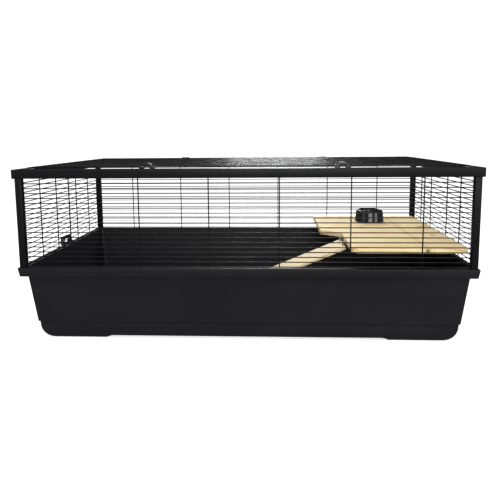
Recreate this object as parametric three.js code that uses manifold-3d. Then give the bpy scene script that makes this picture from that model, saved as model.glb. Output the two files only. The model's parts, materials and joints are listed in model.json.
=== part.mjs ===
// Wire-topped cage for rabbits and other small animals, about 1000 x 540 x 400 mm.
//
// A deep moulded tub carries four corner posts.  Channel rails join the post tops, and welded wire
// panels stand between posts, rails and tub rim.  The roof is a wire lid hinged at the back and
// held at the front by two plastic clips.  A plastic latch on each short side hooks the wire top
// down to the tub.  Inside are a wooden shelf, a hanging wooden ramp and a feed bowl.
//
// Millimetres.  X runs along the length, Y from the front (-Y) to the back (+Y), Z is up.
// The origin is on the floor under the centre of the cage.

import * as THREE from 'three';
import { mergeVertices } from 'three/addons/utils/BufferGeometryUtils.js';
import Module from 'manifold-3d';

const wasm = await Module();
wasm.setup();

// ---------------------------------------------------------------- driving dimensions

const HALF_LENGTH = 500;
const HALF_DEPTH = 270;
const GAP = 0.3;

const TUB = {
  rimTop: 171,
  lipBottom: 151,
  lipInset: 2.5,
  rimCorner: 5,
  wall: 3,
  wallCorner: 12,
  insetAtLip: 13.5,
  taper: 0.11,
  stepTop: 42,
  stepBottom: 39,
  stepInset: 2.5,
  filletHeight: 34,
  filletInsetX: 28,
  filletInsetY: 14,
  footHeight: 7,
  footInnerX: 319,
  footInnerY: 140,
  footSlope: 15,
};

const RAIL = { top: 387, height: 20, depth: 24, wall: 2.5, endRound: 3, edgeRound: 1.5 };

const POST = { size: 15, insetX: 5, insetY: 3, cornerRound: 2.5, slotDepth: 6, slotWidth: 3 };

const WIRE = {
  size: 2.4,
  uprightSize: 2.8,
  planeInset: 8,
  sidePlaneInset: 10,
  lowest: 174,
  pitch: 10.7,
  rows: 18,
  hiddenRow: 376,
  uprightTop: 381,
};
const LONG_PANEL_UPRIGHTS = [-379, -227.4, -75.8, 75.8, 227.4, 379];
const SHORT_PANEL_UPRIGHTS = [-160, -67, 67, 160];

const LID = {
  halfX: 479,
  hingeY: 251,
  frontY: -240,
  frameWire: 2.4,
  wire: 2,
  frameZ: 389,
  crestX: 464,
  crestInset: 7,
  longWireZ: 391,
  longWires: 47,
  crossPitch: 132,
  cornerRound: 9,
};

const HINGE = { x: 208, length: 22, shell: 4.4, bore: 2.1, flangeEnd: 267, flange: 2, screwY: 261.5 };

const CLIP = {
  x: 211,
  knuckleInner: 6,
  knuckleOuter: 17,
  knuckleRadius: 4.2,
  bore: 2.1,
  archHalf: 13,
  archTop: 400,
  archThickness: 5,
  holeHalf: 6,
  holeTop: 396,
  tongueHalf: 12,
  tongueThickness: 2.4,
  tongueBottom: 377,
};

const LATCH = {
  pinX: 495.5,
  pinZ: 176.5,
  pinRadius: 1.5,
  bore: 1.9,
  halfWidth: 30,
  leg: 10,
  thickness: 8,
  top: 194,
  bar: 7,
  outerRound: 16,
  noseX: 488.6,
  noseHeight: 3,
  earHalf: 18,
  earLength: 5,
  basePlate: 1.7,
};

const SHELF = {
  top: 210,
  thickness: 12,
  left: 185,
  right: 484.5,
  front: -234,
  back: 248,
  notchX: 235,
  notchBackY: -41,
  slantBackY: 2,
  frontRound: 16,
  cornerRound: 4,
};

const HOOK = {
  strap: 1.4,
  width: 12,
  reach: 26,
  wireRow: 3,
  drop: 4,
  screwInset: 17,
  sideY: [-113, 0, 113],
  backX: [270, 430],
};
const SCREW = { head: 3, headHeight: 1.8, shank: 1.5, length: 9, hole: 1.9 };

const RAMP = {
  axisX: 227,
  axisZ: 205,
  centreY: -119,
  length: 470,
  width: 95,
  thickness: 7,
  topBelowAxis: 5.83,
  topEnd: -0.5,
  floorGap: 0.3,
  hookSpacing: 56,
};
const EYE = { ring: 3.4, wire: 1, shankEnd: 19, hole: 1.4 };
const STAPLE = { half: 6, wire: 1, legX: -9, legZ: -9.8, hole: 1.4 };

const BOWL = { x: 338, y: 148, height: 33, baseRadius: 41, topRadius: 35.5, segments: 28 };

const COLOURS = {
  tub: 0x26272b,
  frame: 0x141316,
  wire: 0x121113,
  clip: 0x1b1a1c,
  steel: 0xa9abad,
  zinc: 0xb8b6ae,
  pine: 0xe3cf9d,
  paleWood: 0xe9dcba,
  bowl: 0x201e20,
};

// ---------------------------------------------------------------- shape helpers

// The closed solid for a three.js geometry.
function solidOf(geometry) {
  const bare = geometry.clone();
  bare.deleteAttribute('normal');
  bare.deleteAttribute('uv');
  const joined = mergeVertices(bare, 1e-4);
  return new wasm.Manifold(new wasm.Mesh({
    numProp: 3,
    vertProperties: new Float32Array(joined.attributes.position.array),
    triVerts: new Uint32Array(joined.index.array),
  }));
}

// The three.js geometry for a solid.
function geometryOf(solid) {
  const mesh = solid.getMesh();
  const geometry = new THREE.BufferGeometry();
  geometry.setAttribute('position', new THREE.BufferAttribute(new Float32Array(mesh.vertProperties), 3));
  geometry.setIndex(Array.from(mesh.triVerts));
  geometry.computeVertexNormals();
  return geometry;
}

function join(solids) {
  return solids.reduce((total, next) => total.add(next));
}

// Joins a long list in pairs, so that no step works on a large shape more often than needed.
function joinMany(solids) {
  let layer = solids;
  while (layer.length > 1) {
    const next = [];
    for (let i = 0; i < layer.length; i += 2) {
      next.push(i + 1 < layer.length ? layer[i].add(layer[i + 1]) : layer[i]);
    }
    layer = next;
  }
  return layer[0];
}

function box(x0, x1, y0, y1, z0, z1) {
  const geometry = new THREE.BoxGeometry(x1 - x0, y1 - y0, z1 - z0);
  geometry.translate((x0 + x1) / 2, (y0 + y1) / 2, (z0 + z1) / 2);
  return solidOf(geometry);
}

function outline(points) {
  return new THREE.Shape(points.map(([u, v]) => new THREE.Vector2(u, v)));
}

function extruded(shape, length, curveSegments) {
  return new THREE.ExtrudeGeometry(shape, { depth: length, bevelEnabled: false, curveSegments });
}

// A profile drawn in X and Z, running from y0 to y1.
function alongY(shape, y0, y1, curveSegments = 4) {
  const geometry = extruded(shape, y1 - y0, curveSegments);
  geometry.rotateX(Math.PI / 2);
  geometry.translate(0, y1, 0);
  return solidOf(geometry);
}

// A profile drawn in Y and Z, running from x0 to x1.
function alongX(shape, x0, x1, curveSegments = 4) {
  const geometry = extruded(shape, x1 - x0, curveSegments);
  const turn = new THREE.Matrix4().makeBasis(
    new THREE.Vector3(0, 1, 0), new THREE.Vector3(0, 0, 1), new THREE.Vector3(1, 0, 0));
  geometry.applyMatrix4(turn);
  geometry.translate(x0, 0, 0);
  return solidOf(geometry);
}

// A plan drawn in X and Y, standing from z0 to z1.
function alongZ(shape, z0, z1, curveSegments = 4) {
  const geometry = extruded(shape, z1 - z0, curveSegments);
  geometry.translate(0, 0, z0);
  return solidOf(geometry);
}

function rod(radius, length, segments) {
  return new THREE.CylinderGeometry(radius, radius, length, segments);
}

function rodX(x0, x1, y, z, radius, segments = 12) {
  const geometry = rod(radius, x1 - x0, segments);
  geometry.rotateZ(Math.PI / 2);
  geometry.translate((x0 + x1) / 2, y, z);
  return solidOf(geometry);
}

function rodY(x, y0, y1, z, radius, segments = 12) {
  const geometry = rod(radius, y1 - y0, segments);
  geometry.translate(x, (y0 + y1) / 2, z);
  return solidOf(geometry);
}

function rodZ(x, y, z0, z1, radius, segments = 12) {
  const geometry = rod(radius, z1 - z0, segments);
  geometry.rotateX(Math.PI / 2);
  geometry.translate(x, y, (z0 + z1) / 2);
  return solidOf(geometry);
}

function rodBetween(start, end, radius, segments = 8) {
  const from = new THREE.Vector3(...start);
  const span = new THREE.Vector3(...end).sub(from);
  const geometry = rod(radius, span.length(), segments);
  geometry.translate(0, span.length() / 2, 0);
  const turn = new THREE.Quaternion().setFromUnitVectors(
    new THREE.Vector3(0, 1, 0), span.clone().normalize());
  geometry.applyQuaternion(turn);
  geometry.translate(from.x, from.y, from.z);
  return solidOf(geometry);
}

function roundedRectangle(x0, x1, y0, y1, radius) {
  const shape = new THREE.Shape();
  shape.moveTo(x0 + radius, y0);
  shape.lineTo(x1 - radius, y0);
  shape.absarc(x1 - radius, y0 + radius, radius, -Math.PI / 2, 0, false);
  shape.lineTo(x1, y1 - radius);
  shape.absarc(x1 - radius, y1 - radius, radius, 0, Math.PI / 2, false);
  shape.lineTo(x0 + radius, y1);
  shape.absarc(x0 + radius, y1 - radius, radius, Math.PI / 2, Math.PI, false);
  shape.lineTo(x0, y0 + radius);
  shape.absarc(x0 + radius, y0 + radius, radius, Math.PI, 1.5 * Math.PI, false);
  return shape;
}

// The side view of a strip of even thickness that follows a bent centre line.
function stripOutline(centres, thickness) {
  const left = [];
  const right = [];
  centres.forEach(([u, v], i) => {
    const [pu, pv] = centres[Math.max(i - 1, 0)];
    const [nu, nv] = centres[Math.min(i + 1, centres.length - 1)];
    const before = new THREE.Vector2(u - pu, v - pv).normalize();
    const after = new THREE.Vector2(nu - u, nv - v).normalize();
    if (i === 0) before.copy(after);
    if (i === centres.length - 1) after.copy(before);
    const mean = before.clone().add(after).normalize();
    const reach = thickness / 2 / mean.dot(after);
    left.push([u - mean.y * reach, v + mean.x * reach]);
    right.push([u + mean.y * reach, v - mean.x * reach]);
  });
  return outline(right.concat(left.reverse()));
}

// One ring of a rounded rectangle, anticlockwise seen from above.
function ringPoints(halfX, halfY, radius, z) {
  const cornerSteps = 4;
  const corners = [[1, -1, -90], [1, 1, 0], [-1, 1, 90], [-1, -1, 180]];
  const points = [];
  for (const [sx, sy, startAngle] of corners) {
    for (let i = 0; i <= cornerSteps; i += 1) {
      const angle = THREE.MathUtils.degToRad(startAngle + (90 * i) / cornerSteps);
      const x = sx * (halfX - radius) + radius * Math.cos(angle);
      const y = sy * (halfY - radius) + radius * Math.sin(angle);
      points.push([x, y, z]);
    }
  }
  return points;
}

// A closed skin through rings that all have the same number of points, with flat end faces.
function skinThrough(rings) {
  const count = rings[0].length;
  const vertices = rings.flat(2);
  const faces = [];
  for (let r = 0; r + 1 < rings.length; r += 1) {
    for (let i = 0; i < count; i += 1) {
      const a = r * count + i;
      const b = r * count + ((i + 1) % count);
      faces.push(a, b, b + count, a, b + count, a + count);
    }
  }
  const last = (rings.length - 1) * count;
  for (let i = 1; i + 1 < count; i += 1) {
    faces.push(0, i + 1, i);
    faces.push(last, last + i, last + i + 1);
  }
  const geometry = new THREE.BufferGeometry();
  geometry.setAttribute('position', new THREE.Float32BufferAttribute(vertices, 3));
  geometry.setIndex(faces);
  return solidOf(geometry);
}

// ---------------------------------------------------------------- the object

const cage = new THREE.Group();
cage.name = 'wire_rabbit_cage';

function place(name, solid, colour, roughness, metalness) {
  const material = new THREE.MeshStandardMaterial({ color: colour, roughness, metalness });
  const mesh = new THREE.Mesh(geometryOf(solid), material);
  mesh.name = name;
  cage.add(mesh);
}

const SIDES = [['left', -1], ['right', 1]];

// ---- tub: one thin moulding with a turned-down lip and four feet

// How far the outer face of the tub wall stands inside the rim at a height.
function wallInset(z) {
  const sloped = TUB.insetAtLip + TUB.taper * (TUB.lipBottom - z);
  return z < TUB.stepTop ? sloped + TUB.stepInset : sloped;
}

function tubRing(inset, z, radius, insetY = inset) {
  return ringPoints(HALF_LENGTH - inset, HALF_DEPTH - insetY, radius, z);
}

// Rings of the outer wall from the floor up; a positive shift moves them inwards and up.
function wallRings(shift) {
  const corner = TUB.wallCorner - shift;
  const filletTop = wallInset(TUB.filletHeight) + shift;
  const rings = [];
  for (const degrees of [0, 30, 60, 90]) {
    const angle = THREE.MathUtils.degToRad(degrees);
    const curl = 1 - Math.sin(angle);
    const z = shift + (TUB.filletHeight - shift) * (1 - Math.cos(angle));
    rings.push(tubRing(filletTop + TUB.filletInsetX * curl, z, corner,
      filletTop + TUB.filletInsetY * curl));
  }
  rings.push(tubRing(wallInset(TUB.stepBottom) + shift, TUB.stepBottom, corner));
  rings.push(tubRing(wallInset(TUB.stepTop) + shift, TUB.stepTop, corner));
  return rings;
}

function buildTub() {
  const flangeBottom = TUB.rimTop - TUB.wall;
  const outer = wallRings(0);
  const inner = wallRings(TUB.wall).reverse();
  const rim = [
    tubRing(wallInset(flangeBottom), flangeBottom, TUB.wallCorner),
    tubRing(TUB.wall, flangeBottom, TUB.rimCorner - TUB.wall),
    tubRing(TUB.wall + TUB.lipInset, TUB.lipBottom, TUB.rimCorner - TUB.wall),
    tubRing(TUB.lipInset, TUB.lipBottom, TUB.rimCorner),
    tubRing(0, TUB.rimTop - 2, TUB.rimCorner),
    tubRing(0.6, TUB.rimTop - 0.6, TUB.rimCorner - 0.6),
    tubRing(2, TUB.rimTop, TUB.rimCorner - 2),
    tubRing(wallInset(TUB.rimTop) + TUB.wall, TUB.rimTop, TUB.wallCorner - TUB.wall),
  ];
  const shell = skinThrough([...outer, ...rim, ...inner]);

  // The floor between the feet is pressed up, inside and out, by the height of the feet.
  const foot = TUB.footHeight;
  const pressed = (low, high, halfLow, halfHigh) => outline([
    [-halfLow, low], [halfLow, low], [halfHigh, high], [-halfHigh, high],
  ]);
  const raised = (halfInner) => pressed(TUB.wall / 2, foot + TUB.wall,
    halfInner + TUB.wall, halfInner + TUB.wall - TUB.footSlope);
  const hollowed = (halfInner) => pressed(-foot, foot,
    halfInner + TUB.footSlope, halfInner - TUB.footSlope);
  const block = skinThrough([...outer, tubRing(wallInset(TUB.stepTop), TUB.stepTop, TUB.wallCorner)]
    .slice(0, outer.length));
  const plateauX = alongY(raised(TUB.footInnerX), -HALF_DEPTH, HALF_DEPTH);
  const plateauY = alongX(raised(TUB.footInnerY), -HALF_LENGTH, HALF_LENGTH);
  const hollowX = alongY(hollowed(TUB.footInnerX), -HALF_DEPTH, HALF_DEPTH);
  const hollowY = alongX(hollowed(TUB.footInnerY), -HALF_LENGTH, HALF_LENGTH);
  return shell
    .add(plateauX.intersect(block))
    .add(plateauY.intersect(block))
    .subtract(hollowX)
    .subtract(hollowY);
}

place('base_tub', buildTub(), COLOURS.tub, 0.45, 0);

// ---- posts: square, with a slot for the wire ends of each neighbouring panel

function buildPost(sx, sy) {
  const outerX = HALF_LENGTH - POST.insetX;
  const outerY = HALF_DEPTH - POST.insetY;
  const plan = roundedRectangle(outerX - POST.size, outerX, outerY - POST.size, outerY,
    POST.cornerRound);
  const bottom = TUB.rimTop + GAP;
  const top = RAIL.top - RAIL.wall - GAP;
  const wireY = HALF_DEPTH - WIRE.planeInset;
  const wireX = HALF_LENGTH - WIRE.sidePlaneInset;
  const half = POST.slotWidth / 2;
  const innerX = outerX - POST.size;
  const innerY = outerY - POST.size;
  const longSlot = box(innerX - 1, innerX + POST.slotDepth, wireY - half, wireY + half,
    bottom - 1, top + 1);
  const shortSlot = box(wireX - half, wireX + half, innerY - 1, innerY + POST.slotDepth,
    bottom - 1, top + 1);
  const post = alongZ(plan, bottom, top, 2).subtract(longSlot).subtract(shortSlot);
  return mirrored(post, sx, sy);
}

function mirrored(solid, sx, sy) {
  const geometry = geometryOf(solid);
  geometry.scale(sx, sy, 1);
  if (sx * sy < 0) flipFaces(geometry);
  return solidOf(geometry);
}

function flipFaces(geometry) {
  const index = geometry.index.array;
  for (let i = 0; i < index.length; i += 3) {
    const keep = index[i];
    index[i] = index[i + 1];
    index[i + 1] = keep;
  }
}

for (const [side, sx] of SIDES) {
  place(`post_front_${side}`, buildPost(sx, -1), COLOURS.frame, 0.4, 0);
  place(`post_back_${side}`, buildPost(sx, 1), COLOURS.frame, 0.4, 0);
}

// ---- rails: channels, open below, that cap the posts and the panel tops

function channelProfile(outer) {
  const round = RAIL.edgeRound;
  const inner = outer - RAIL.depth;
  const bottom = RAIL.top - RAIL.height;
  const roof = RAIL.top - RAIL.wall;
  return outline([
    [outer, bottom], [outer, RAIL.top - round], [outer - round, RAIL.top],
    [inner + round, RAIL.top], [inner, RAIL.top - round], [inner, bottom],
    [inner + RAIL.wall, bottom], [inner + RAIL.wall, roof],
    [outer - RAIL.wall, roof], [outer - RAIL.wall, bottom],
  ]);
}

function buildLongRail(sy) {
  const bottom = RAIL.top - RAIL.height;
  const channel = alongX(channelProfile(HALF_DEPTH), -HALF_LENGTH, HALF_LENGTH);
  const caps = [-HALF_LENGTH, HALF_LENGTH - RAIL.wall].map((x) => box(
    x, x + RAIL.wall, HALF_DEPTH - RAIL.depth, HALF_DEPTH, bottom, RAIL.top - RAIL.edgeRound));
  const front = new THREE.Shape();
  const round = RAIL.endRound;
  front.moveTo(-HALF_LENGTH, bottom);
  front.lineTo(HALF_LENGTH, bottom);
  front.lineTo(HALF_LENGTH, RAIL.top - round);
  front.absarc(HALF_LENGTH - round, RAIL.top - round, round, 0, Math.PI / 2, false);
  front.lineTo(-HALF_LENGTH + round, RAIL.top);
  front.absarc(-HALF_LENGTH + round, RAIL.top - round, round, Math.PI / 2, Math.PI, false);
  const envelope = alongY(front, 0, HALF_DEPTH + 1, 3);
  const rail = join([channel, ...caps]).intersect(envelope);
  return mirrored(rail, 1, sy);
}

place('rail_front', buildLongRail(-1), COLOURS.frame, 0.4, 0);
place('rail_back', buildLongRail(1), COLOURS.frame, 0.4, 0);

for (const [side, sx] of SIDES) {
  const halfRun = HALF_DEPTH - RAIL.depth - GAP;
  const rail = alongY(channelProfile(HALF_LENGTH), -halfRun, halfRun);
  place(`rail_${side}`, mirrored(rail, sx, 1), COLOURS.frame, 0.4, 0);
}

// ---- wall panels: close rows of wire welded across a few uprights

function rowHeights() {
  return Array.from({ length: WIRE.rows }, (_, row) => WIRE.lowest + row * WIRE.pitch);
}

function buildLongPanel(sy) {
  const half = WIRE.size / 2;
  const wireY = HALF_DEPTH - WIRE.planeInset;
  const end = HALF_LENGTH - POST.insetX - POST.size + POST.slotDepth - 1;
  const rows = [...rowHeights(), WIRE.hiddenRow].map((z) => box(-end, end,
    wireY - half, wireY + half, z - half, z + half));
  const halfUpright = WIRE.uprightSize / 2;
  const uprightY = wireY - half - halfUpright;
  const uprights = LONG_PANEL_UPRIGHTS.map((x) => box(x - halfUpright, x + halfUpright,
    uprightY - halfUpright, uprightY + halfUpright, WIRE.lowest - half, WIRE.uprightTop));
  return mirrored(joinMany([...uprights, ...rows]), 1, sy);
}

function buildShortPanel(sx) {
  const half = WIRE.size / 2;
  const wireX = HALF_LENGTH - WIRE.sidePlaneInset;
  const end = HALF_DEPTH - POST.insetY - POST.size + POST.slotDepth - 1;
  const rows = rowHeights().map((z) => box(wireX - half, wireX + half, -end, end,
    z - half, z + half));
  // The top row lies inside the side rail, which stops short of the long rails.
  const topEnd = HALF_DEPTH - RAIL.depth - 1;
  rows.push(box(wireX - half, wireX + half, -topEnd, topEnd,
    WIRE.hiddenRow - half, WIRE.hiddenRow + half));
  const halfUpright = WIRE.uprightSize / 2;
  const uprightX = wireX - half - halfUpright;
  const uprights = SHORT_PANEL_UPRIGHTS.map((y) => box(uprightX - halfUpright,
    uprightX + halfUpright, y - halfUpright, y + halfUpright,
    WIRE.lowest - half, WIRE.uprightTop));
  return mirrored(joinMany([...uprights, ...rows]), sx, 1);
}

place('panel_front', buildLongPanel(-1), COLOURS.wire, 0.35, 0.4);
place('panel_back', buildLongPanel(1), COLOURS.wire, 0.35, 0.4);
for (const [side, sx] of SIDES) {
  place(`panel_${side}`, buildShortPanel(sx), COLOURS.wire, 0.35, 0.4);
}

// ---- lid: cross wires level with a frame wire, and long wires over them that bend down to it

function buildLid() {
  const half = LID.wire / 2;
  const frameHalf = LID.frameWire / 2;
  const grow = (offset, radius) => roundedRectangle(-LID.halfX - offset, LID.halfX + offset,
    LID.frontY - offset, LID.hingeY + offset, radius);
  const ring = grow(frameHalf, LID.cornerRound + frameHalf);
  ring.holes.push(grow(-frameHalf, LID.cornerRound - frameHalf));
  const frame = alongZ(ring, LID.frameZ - frameHalf, LID.frameZ + frameHalf, 3);

  const longRun = stripOutline([
    [-LID.halfX, LID.frameZ], [-LID.crestX, LID.longWireZ],
    [LID.crestX, LID.longWireZ], [LID.halfX, LID.frameZ],
  ], LID.wire);
  const firstY = LID.frontY + LID.crestInset;
  const lastY = LID.hingeY - LID.crestInset;
  const longPitch = (lastY - firstY) / (LID.longWires - 1);
  const longWires = [];
  for (let i = 0; i < LID.longWires; i += 1) {
    const y = firstY + i * longPitch;
    longWires.push(alongY(longRun, y - half, y + half));
  }

  const crossWires = [];
  for (let i = -3; i <= 3; i += 1) {
    const x = i * LID.crossPitch;
    crossWires.push(box(x - half, x + half, LID.frontY, LID.hingeY,
      LID.frameZ - half, LID.frameZ + half));
  }
  return joinMany([...crossWires, ...longWires]).add(frame);
}

place('lid_grille', buildLid(), COLOURS.wire, 0.3, 0.4);

// ---- lid hinges: a saddle screwed to the back rail wraps the frame wire of the lid

function screw(x, y, headBottom, headTop, tip, name) {
  const low = Math.min(headBottom, headTop);
  const high = Math.max(headBottom, headTop);
  const head = rodZ(x, y, low, high, SCREW.head, 12);
  const shank = rodZ(x, y, Math.min(tip, low + 0.1), Math.max(tip, high - 0.1), SCREW.shank, 10);
  place(name, head.add(shank), COLOURS.zinc, 0.35, 0.9);
}

for (const [side, sx] of SIDES) {
  const x0 = sx * HINGE.x - HINGE.length / 2;
  const x1 = sx * HINGE.x + HINGE.length / 2;
  const base = RAIL.top + GAP;
  const dome = rodX(x0, x1, LID.hingeY, LID.frameZ, HINGE.shell, 16);
  const flange = box(x0, x1, LID.hingeY, HINGE.flangeEnd, base, base + HINGE.flange);
  const bore = rodX(x0 - 1, x1 + 1, LID.hingeY, LID.frameZ, HINGE.bore, 12);
  const below = box(x0 - 1, x1 + 1, LID.hingeY - 8, LID.hingeY + 8, base - 8, base);
  const screwX = sx * HINGE.x;
  const hole = rodZ(screwX, HINGE.screwY, base - 1, base + HINGE.flange + 1, SCREW.hole, 12);
  const saddle = dome.add(flange).subtract(bore).subtract(below).subtract(hole);
  place(`lid_hinge_${side}`, saddle, COLOURS.clip, 0.3, 0);
  const headBottom = base + HINGE.flange + GAP;
  screw(screwX, HINGE.screwY, headBottom, headBottom + SCREW.headHeight, base,
    `lid_hinge_screw_${side}`);
}

// ---- lid clips: two knuckles round the front frame wire, a thumb arch above and a tongue that
// hangs down close behind the front rail

for (const [side, sx] of SIDES) {
  const x = sx * CLIP.x;
  const y = LID.frontY;
  const z = LID.frameZ;
  const knuckles = [-1, 1].map((s) => {
    const a = x + s * CLIP.knuckleInner;
    const b = x + s * CLIP.knuckleOuter;
    return rodX(Math.min(a, b), Math.max(a, b), y, z, CLIP.knuckleRadius, 16);
  });
  const arch = new THREE.Shape();
  const rise = CLIP.archTop - z;
  arch.moveTo(x - CLIP.archHalf, z);
  arch.lineTo(x + CLIP.archHalf, z);
  arch.absellipse(x, z, CLIP.archHalf, rise, 0, Math.PI, false);
  const hole = new THREE.Path();
  hole.moveTo(x + CLIP.holeHalf, z + 0.5);
  hole.absellipse(x, z + 0.5, CLIP.holeHalf, CLIP.holeTop - z - 0.5, 0, Math.PI, false);
  hole.lineTo(x + CLIP.holeHalf, z + 0.5);
  arch.holes.push(hole);
  const thumb = alongY(arch, y - CLIP.archThickness / 2, y + CLIP.archThickness / 2, 10);
  const slot = box(x - CLIP.holeHalf, x + CLIP.holeHalf, y - 5, y + 5, z - 2.8, z + 1);
  const halfTongue = CLIP.tongueThickness / 2;
  const tongue = box(x - CLIP.tongueHalf, x + CLIP.tongueHalf, y - halfTongue, y + halfTongue,
    CLIP.tongueBottom, z - 2.8);
  const bore = rodX(x - 25, x + 25, y, z, CLIP.bore, 12);
  const clip = join([thumb, ...knuckles]).subtract(slot).add(tongue).subtract(bore);
  place(`lid_clip_${side}`, clip, COLOURS.clip, 0.2, 0);
}

// ---- side latches: an arch that swings on a pin and hooks over the lowest wire of the panel

for (const [side, sx] of SIDES) {
  const { pinX, pinZ } = LATCH;
  const inner = pinX - LATCH.thickness / 2;
  const outer = pinX + LATCH.thickness / 2;
  const foot = pinZ - LATCH.thickness / 2;

  const arch = new THREE.Shape();
  const w = LATCH.halfWidth;
  const r = LATCH.outerRound;
  arch.moveTo(-w, foot);
  arch.lineTo(-w + LATCH.leg, foot);
  arch.lineTo(-w + LATCH.leg, LATCH.top - r);
  arch.absellipse(-w + r, LATCH.top - r, r - LATCH.leg, r - LATCH.bar, Math.PI, Math.PI / 2, true);
  arch.lineTo(w - r, LATCH.top - LATCH.bar);
  arch.absellipse(w - r, LATCH.top - r, r - LATCH.leg, r - LATCH.bar, Math.PI / 2, 0, true);
  arch.lineTo(w - LATCH.leg, foot);
  arch.lineTo(w, foot);
  arch.lineTo(w, LATCH.top - r);
  arch.absarc(w - r, LATCH.top - r, r, 0, Math.PI / 2, false);
  arch.lineTo(-w + r, LATCH.top);
  arch.absarc(-w + r, LATCH.top - r, r, Math.PI / 2, Math.PI, false);

  const side2d = new THREE.Shape();
  side2d.moveTo(inner, pinZ);
  side2d.absarc(pinX, pinZ, LATCH.thickness / 2, Math.PI, 2 * Math.PI, false);
  side2d.lineTo(outer, LATCH.top + 1);
  side2d.lineTo(inner, LATCH.top + 1);
  const blank = alongX(arch, inner, outer, 5).intersect(alongY(side2d, -w - 1, w + 1, 6));
  const noseBottom = WIRE.lowest + WIRE.size / 2 + GAP;
  const noses = [-1, 1].map((s) => {
    const a = s * (w - LATCH.leg);
    const b = s * w;
    return box(LATCH.noseX, inner + 1, Math.min(a, b), Math.max(a, b),
      noseBottom, noseBottom + LATCH.noseHeight);
  });
  const bore = rodY(pinX, -w - 1, w + 1, pinZ, LATCH.bore, 12);
  const lever = join([blank, ...noses]).subtract(bore);
  place(`latch_lever_${side}`, mirrored(lever, sx, 1), COLOURS.clip, 0.3, 0);

  const base = TUB.rimTop + GAP;
  const plate = box(inner, outer, -LATCH.earHalf, LATCH.earHalf, base, base + LATCH.basePlate);
  const ears = [-1, 1].map((s) => {
    const a = s * LATCH.earHalf;
    const b = s * (LATCH.earHalf - LATCH.earLength);
    return box(inner, outer, Math.min(a, b), Math.max(a, b), base, pinZ)
      .add(rodY(pinX, Math.min(a, b), Math.max(a, b), pinZ, LATCH.thickness / 2, 14));
  });
  const earBore = rodY(pinX, -w - 1, w + 1, pinZ, LATCH.bore, 12);
  const bracket = join([plate, ...ears]).subtract(earBore);
  place(`latch_bracket_${side}`, mirrored(bracket, sx, 1), COLOURS.clip, 0.35, 0);

  const pin = rodY(pinX, -w, w, pinZ, LATCH.pinRadius, 12);
  place(`latch_pin_${side}`, mirrored(pin, sx, 1), COLOURS.steel, 0.3, 1);
}

// ---- shelf: one board with a slanted step for the ramp, hung from the wires by metal hooks

const shelfBottom = SHELF.top - SHELF.thickness;

function buildShelf() {
  const plan = new THREE.Shape();
  const round = SHELF.frontRound;
  const corner = SHELF.cornerRound;
  plan.moveTo(SHELF.notchX, SHELF.notchBackY);
  plan.lineTo(SHELF.notchX, SHELF.front + round);
  plan.absarc(SHELF.notchX + round, SHELF.front + round, round, Math.PI, 1.5 * Math.PI, false);
  plan.lineTo(SHELF.right - corner, SHELF.front);
  plan.absarc(SHELF.right - corner, SHELF.front + corner, corner, 1.5 * Math.PI, 2 * Math.PI,
    false);
  plan.lineTo(SHELF.right, SHELF.back - corner);
  plan.absarc(SHELF.right - corner, SHELF.back - corner, corner, 0, Math.PI / 2, false);
  plan.lineTo(SHELF.left, SHELF.back);
  plan.lineTo(SHELF.left, SHELF.slantBackY);
  let board = alongZ(plan, shelfBottom, SHELF.top, 4);
  for (const [x, y] of screwSpots()) {
    board = board.subtract(rodZ(x, y, shelfBottom - 1, shelfBottom + SCREW.length, SCREW.hole, 8));
  }
  for (const y of eyeSpots()) {
    board = board.subtract(rodX(SHELF.notchX - 1, RAMP.axisX + EYE.shankEnd + 1, y, RAMP.axisZ,
      EYE.hole, 8));
  }
  return board;
}

function screwSpots() {
  const sideSpots = HOOK.sideY.map((y) => [SHELF.right - HOOK.screwInset, y]);
  const backSpots = HOOK.backX.map((x) => [x, SHELF.back - HOOK.screwInset]);
  return [...sideSpots, ...backSpots];
}

function eyeSpots() {
  return [RAMP.centreY - RAMP.hookSpacing / 2, RAMP.centreY + RAMP.hookSpacing / 2];
}

place('shelf_board', buildShelf(), COLOURS.pine, 0.6, 0);

// Side view of a hook: under the board, up past its edge and over one row of wire.
function hookOutline(boardEdge, wireCentre) {
  const half = HOOK.strap / 2;
  const under = shelfBottom - GAP - half;
  const rise = boardEdge + GAP + half;
  const wireZ = WIRE.lowest + HOOK.wireRow * WIRE.pitch;
  const over = wireZ + WIRE.size / 2 + GAP + half;
  const past = wireCentre + WIRE.size / 2 + GAP + half;
  return stripOutline([
    [boardEdge - HOOK.reach, under], [rise, under], [rise, over], [past, over],
    [past, wireZ - HOOK.drop],
  ], HOOK.strap);
}

function placeHook(name, strap, x, y) {
  const under = shelfBottom - GAP - HOOK.strap;
  const hole = rodZ(x, y, under - 1, shelfBottom, SCREW.hole, 12);
  place(`shelf_hook_${name}`, strap.subtract(hole), COLOURS.zinc, 0.35, 0.9);
  screw(x, y, under - GAP - SCREW.headHeight, under - GAP, shelfBottom + SCREW.length - 1,
    `shelf_screw_${name}`);
}

HOOK.sideY.forEach((y, i) => {
  const side = hookOutline(SHELF.right, HALF_LENGTH - WIRE.sidePlaneInset);
  const strap = alongY(side, y - HOOK.width / 2, y + HOOK.width / 2);
  placeHook(`side_${i + 1}`, strap, SHELF.right - HOOK.screwInset, y);
});

HOOK.backX.forEach((x, i) => {
  const side = hookOutline(SHELF.back, HALF_DEPTH - WIRE.planeInset);
  const strap = alongX(side, x - HOOK.width / 2, x + HOOK.width / 2);
  placeHook(`back_${i + 1}`, strap, x, SHELF.back - HOOK.screwInset);
});

// ---- ramp: a plain board that hangs by two staples from two screw eyes in the shelf

const floorTop = TUB.footHeight + TUB.wall;

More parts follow.
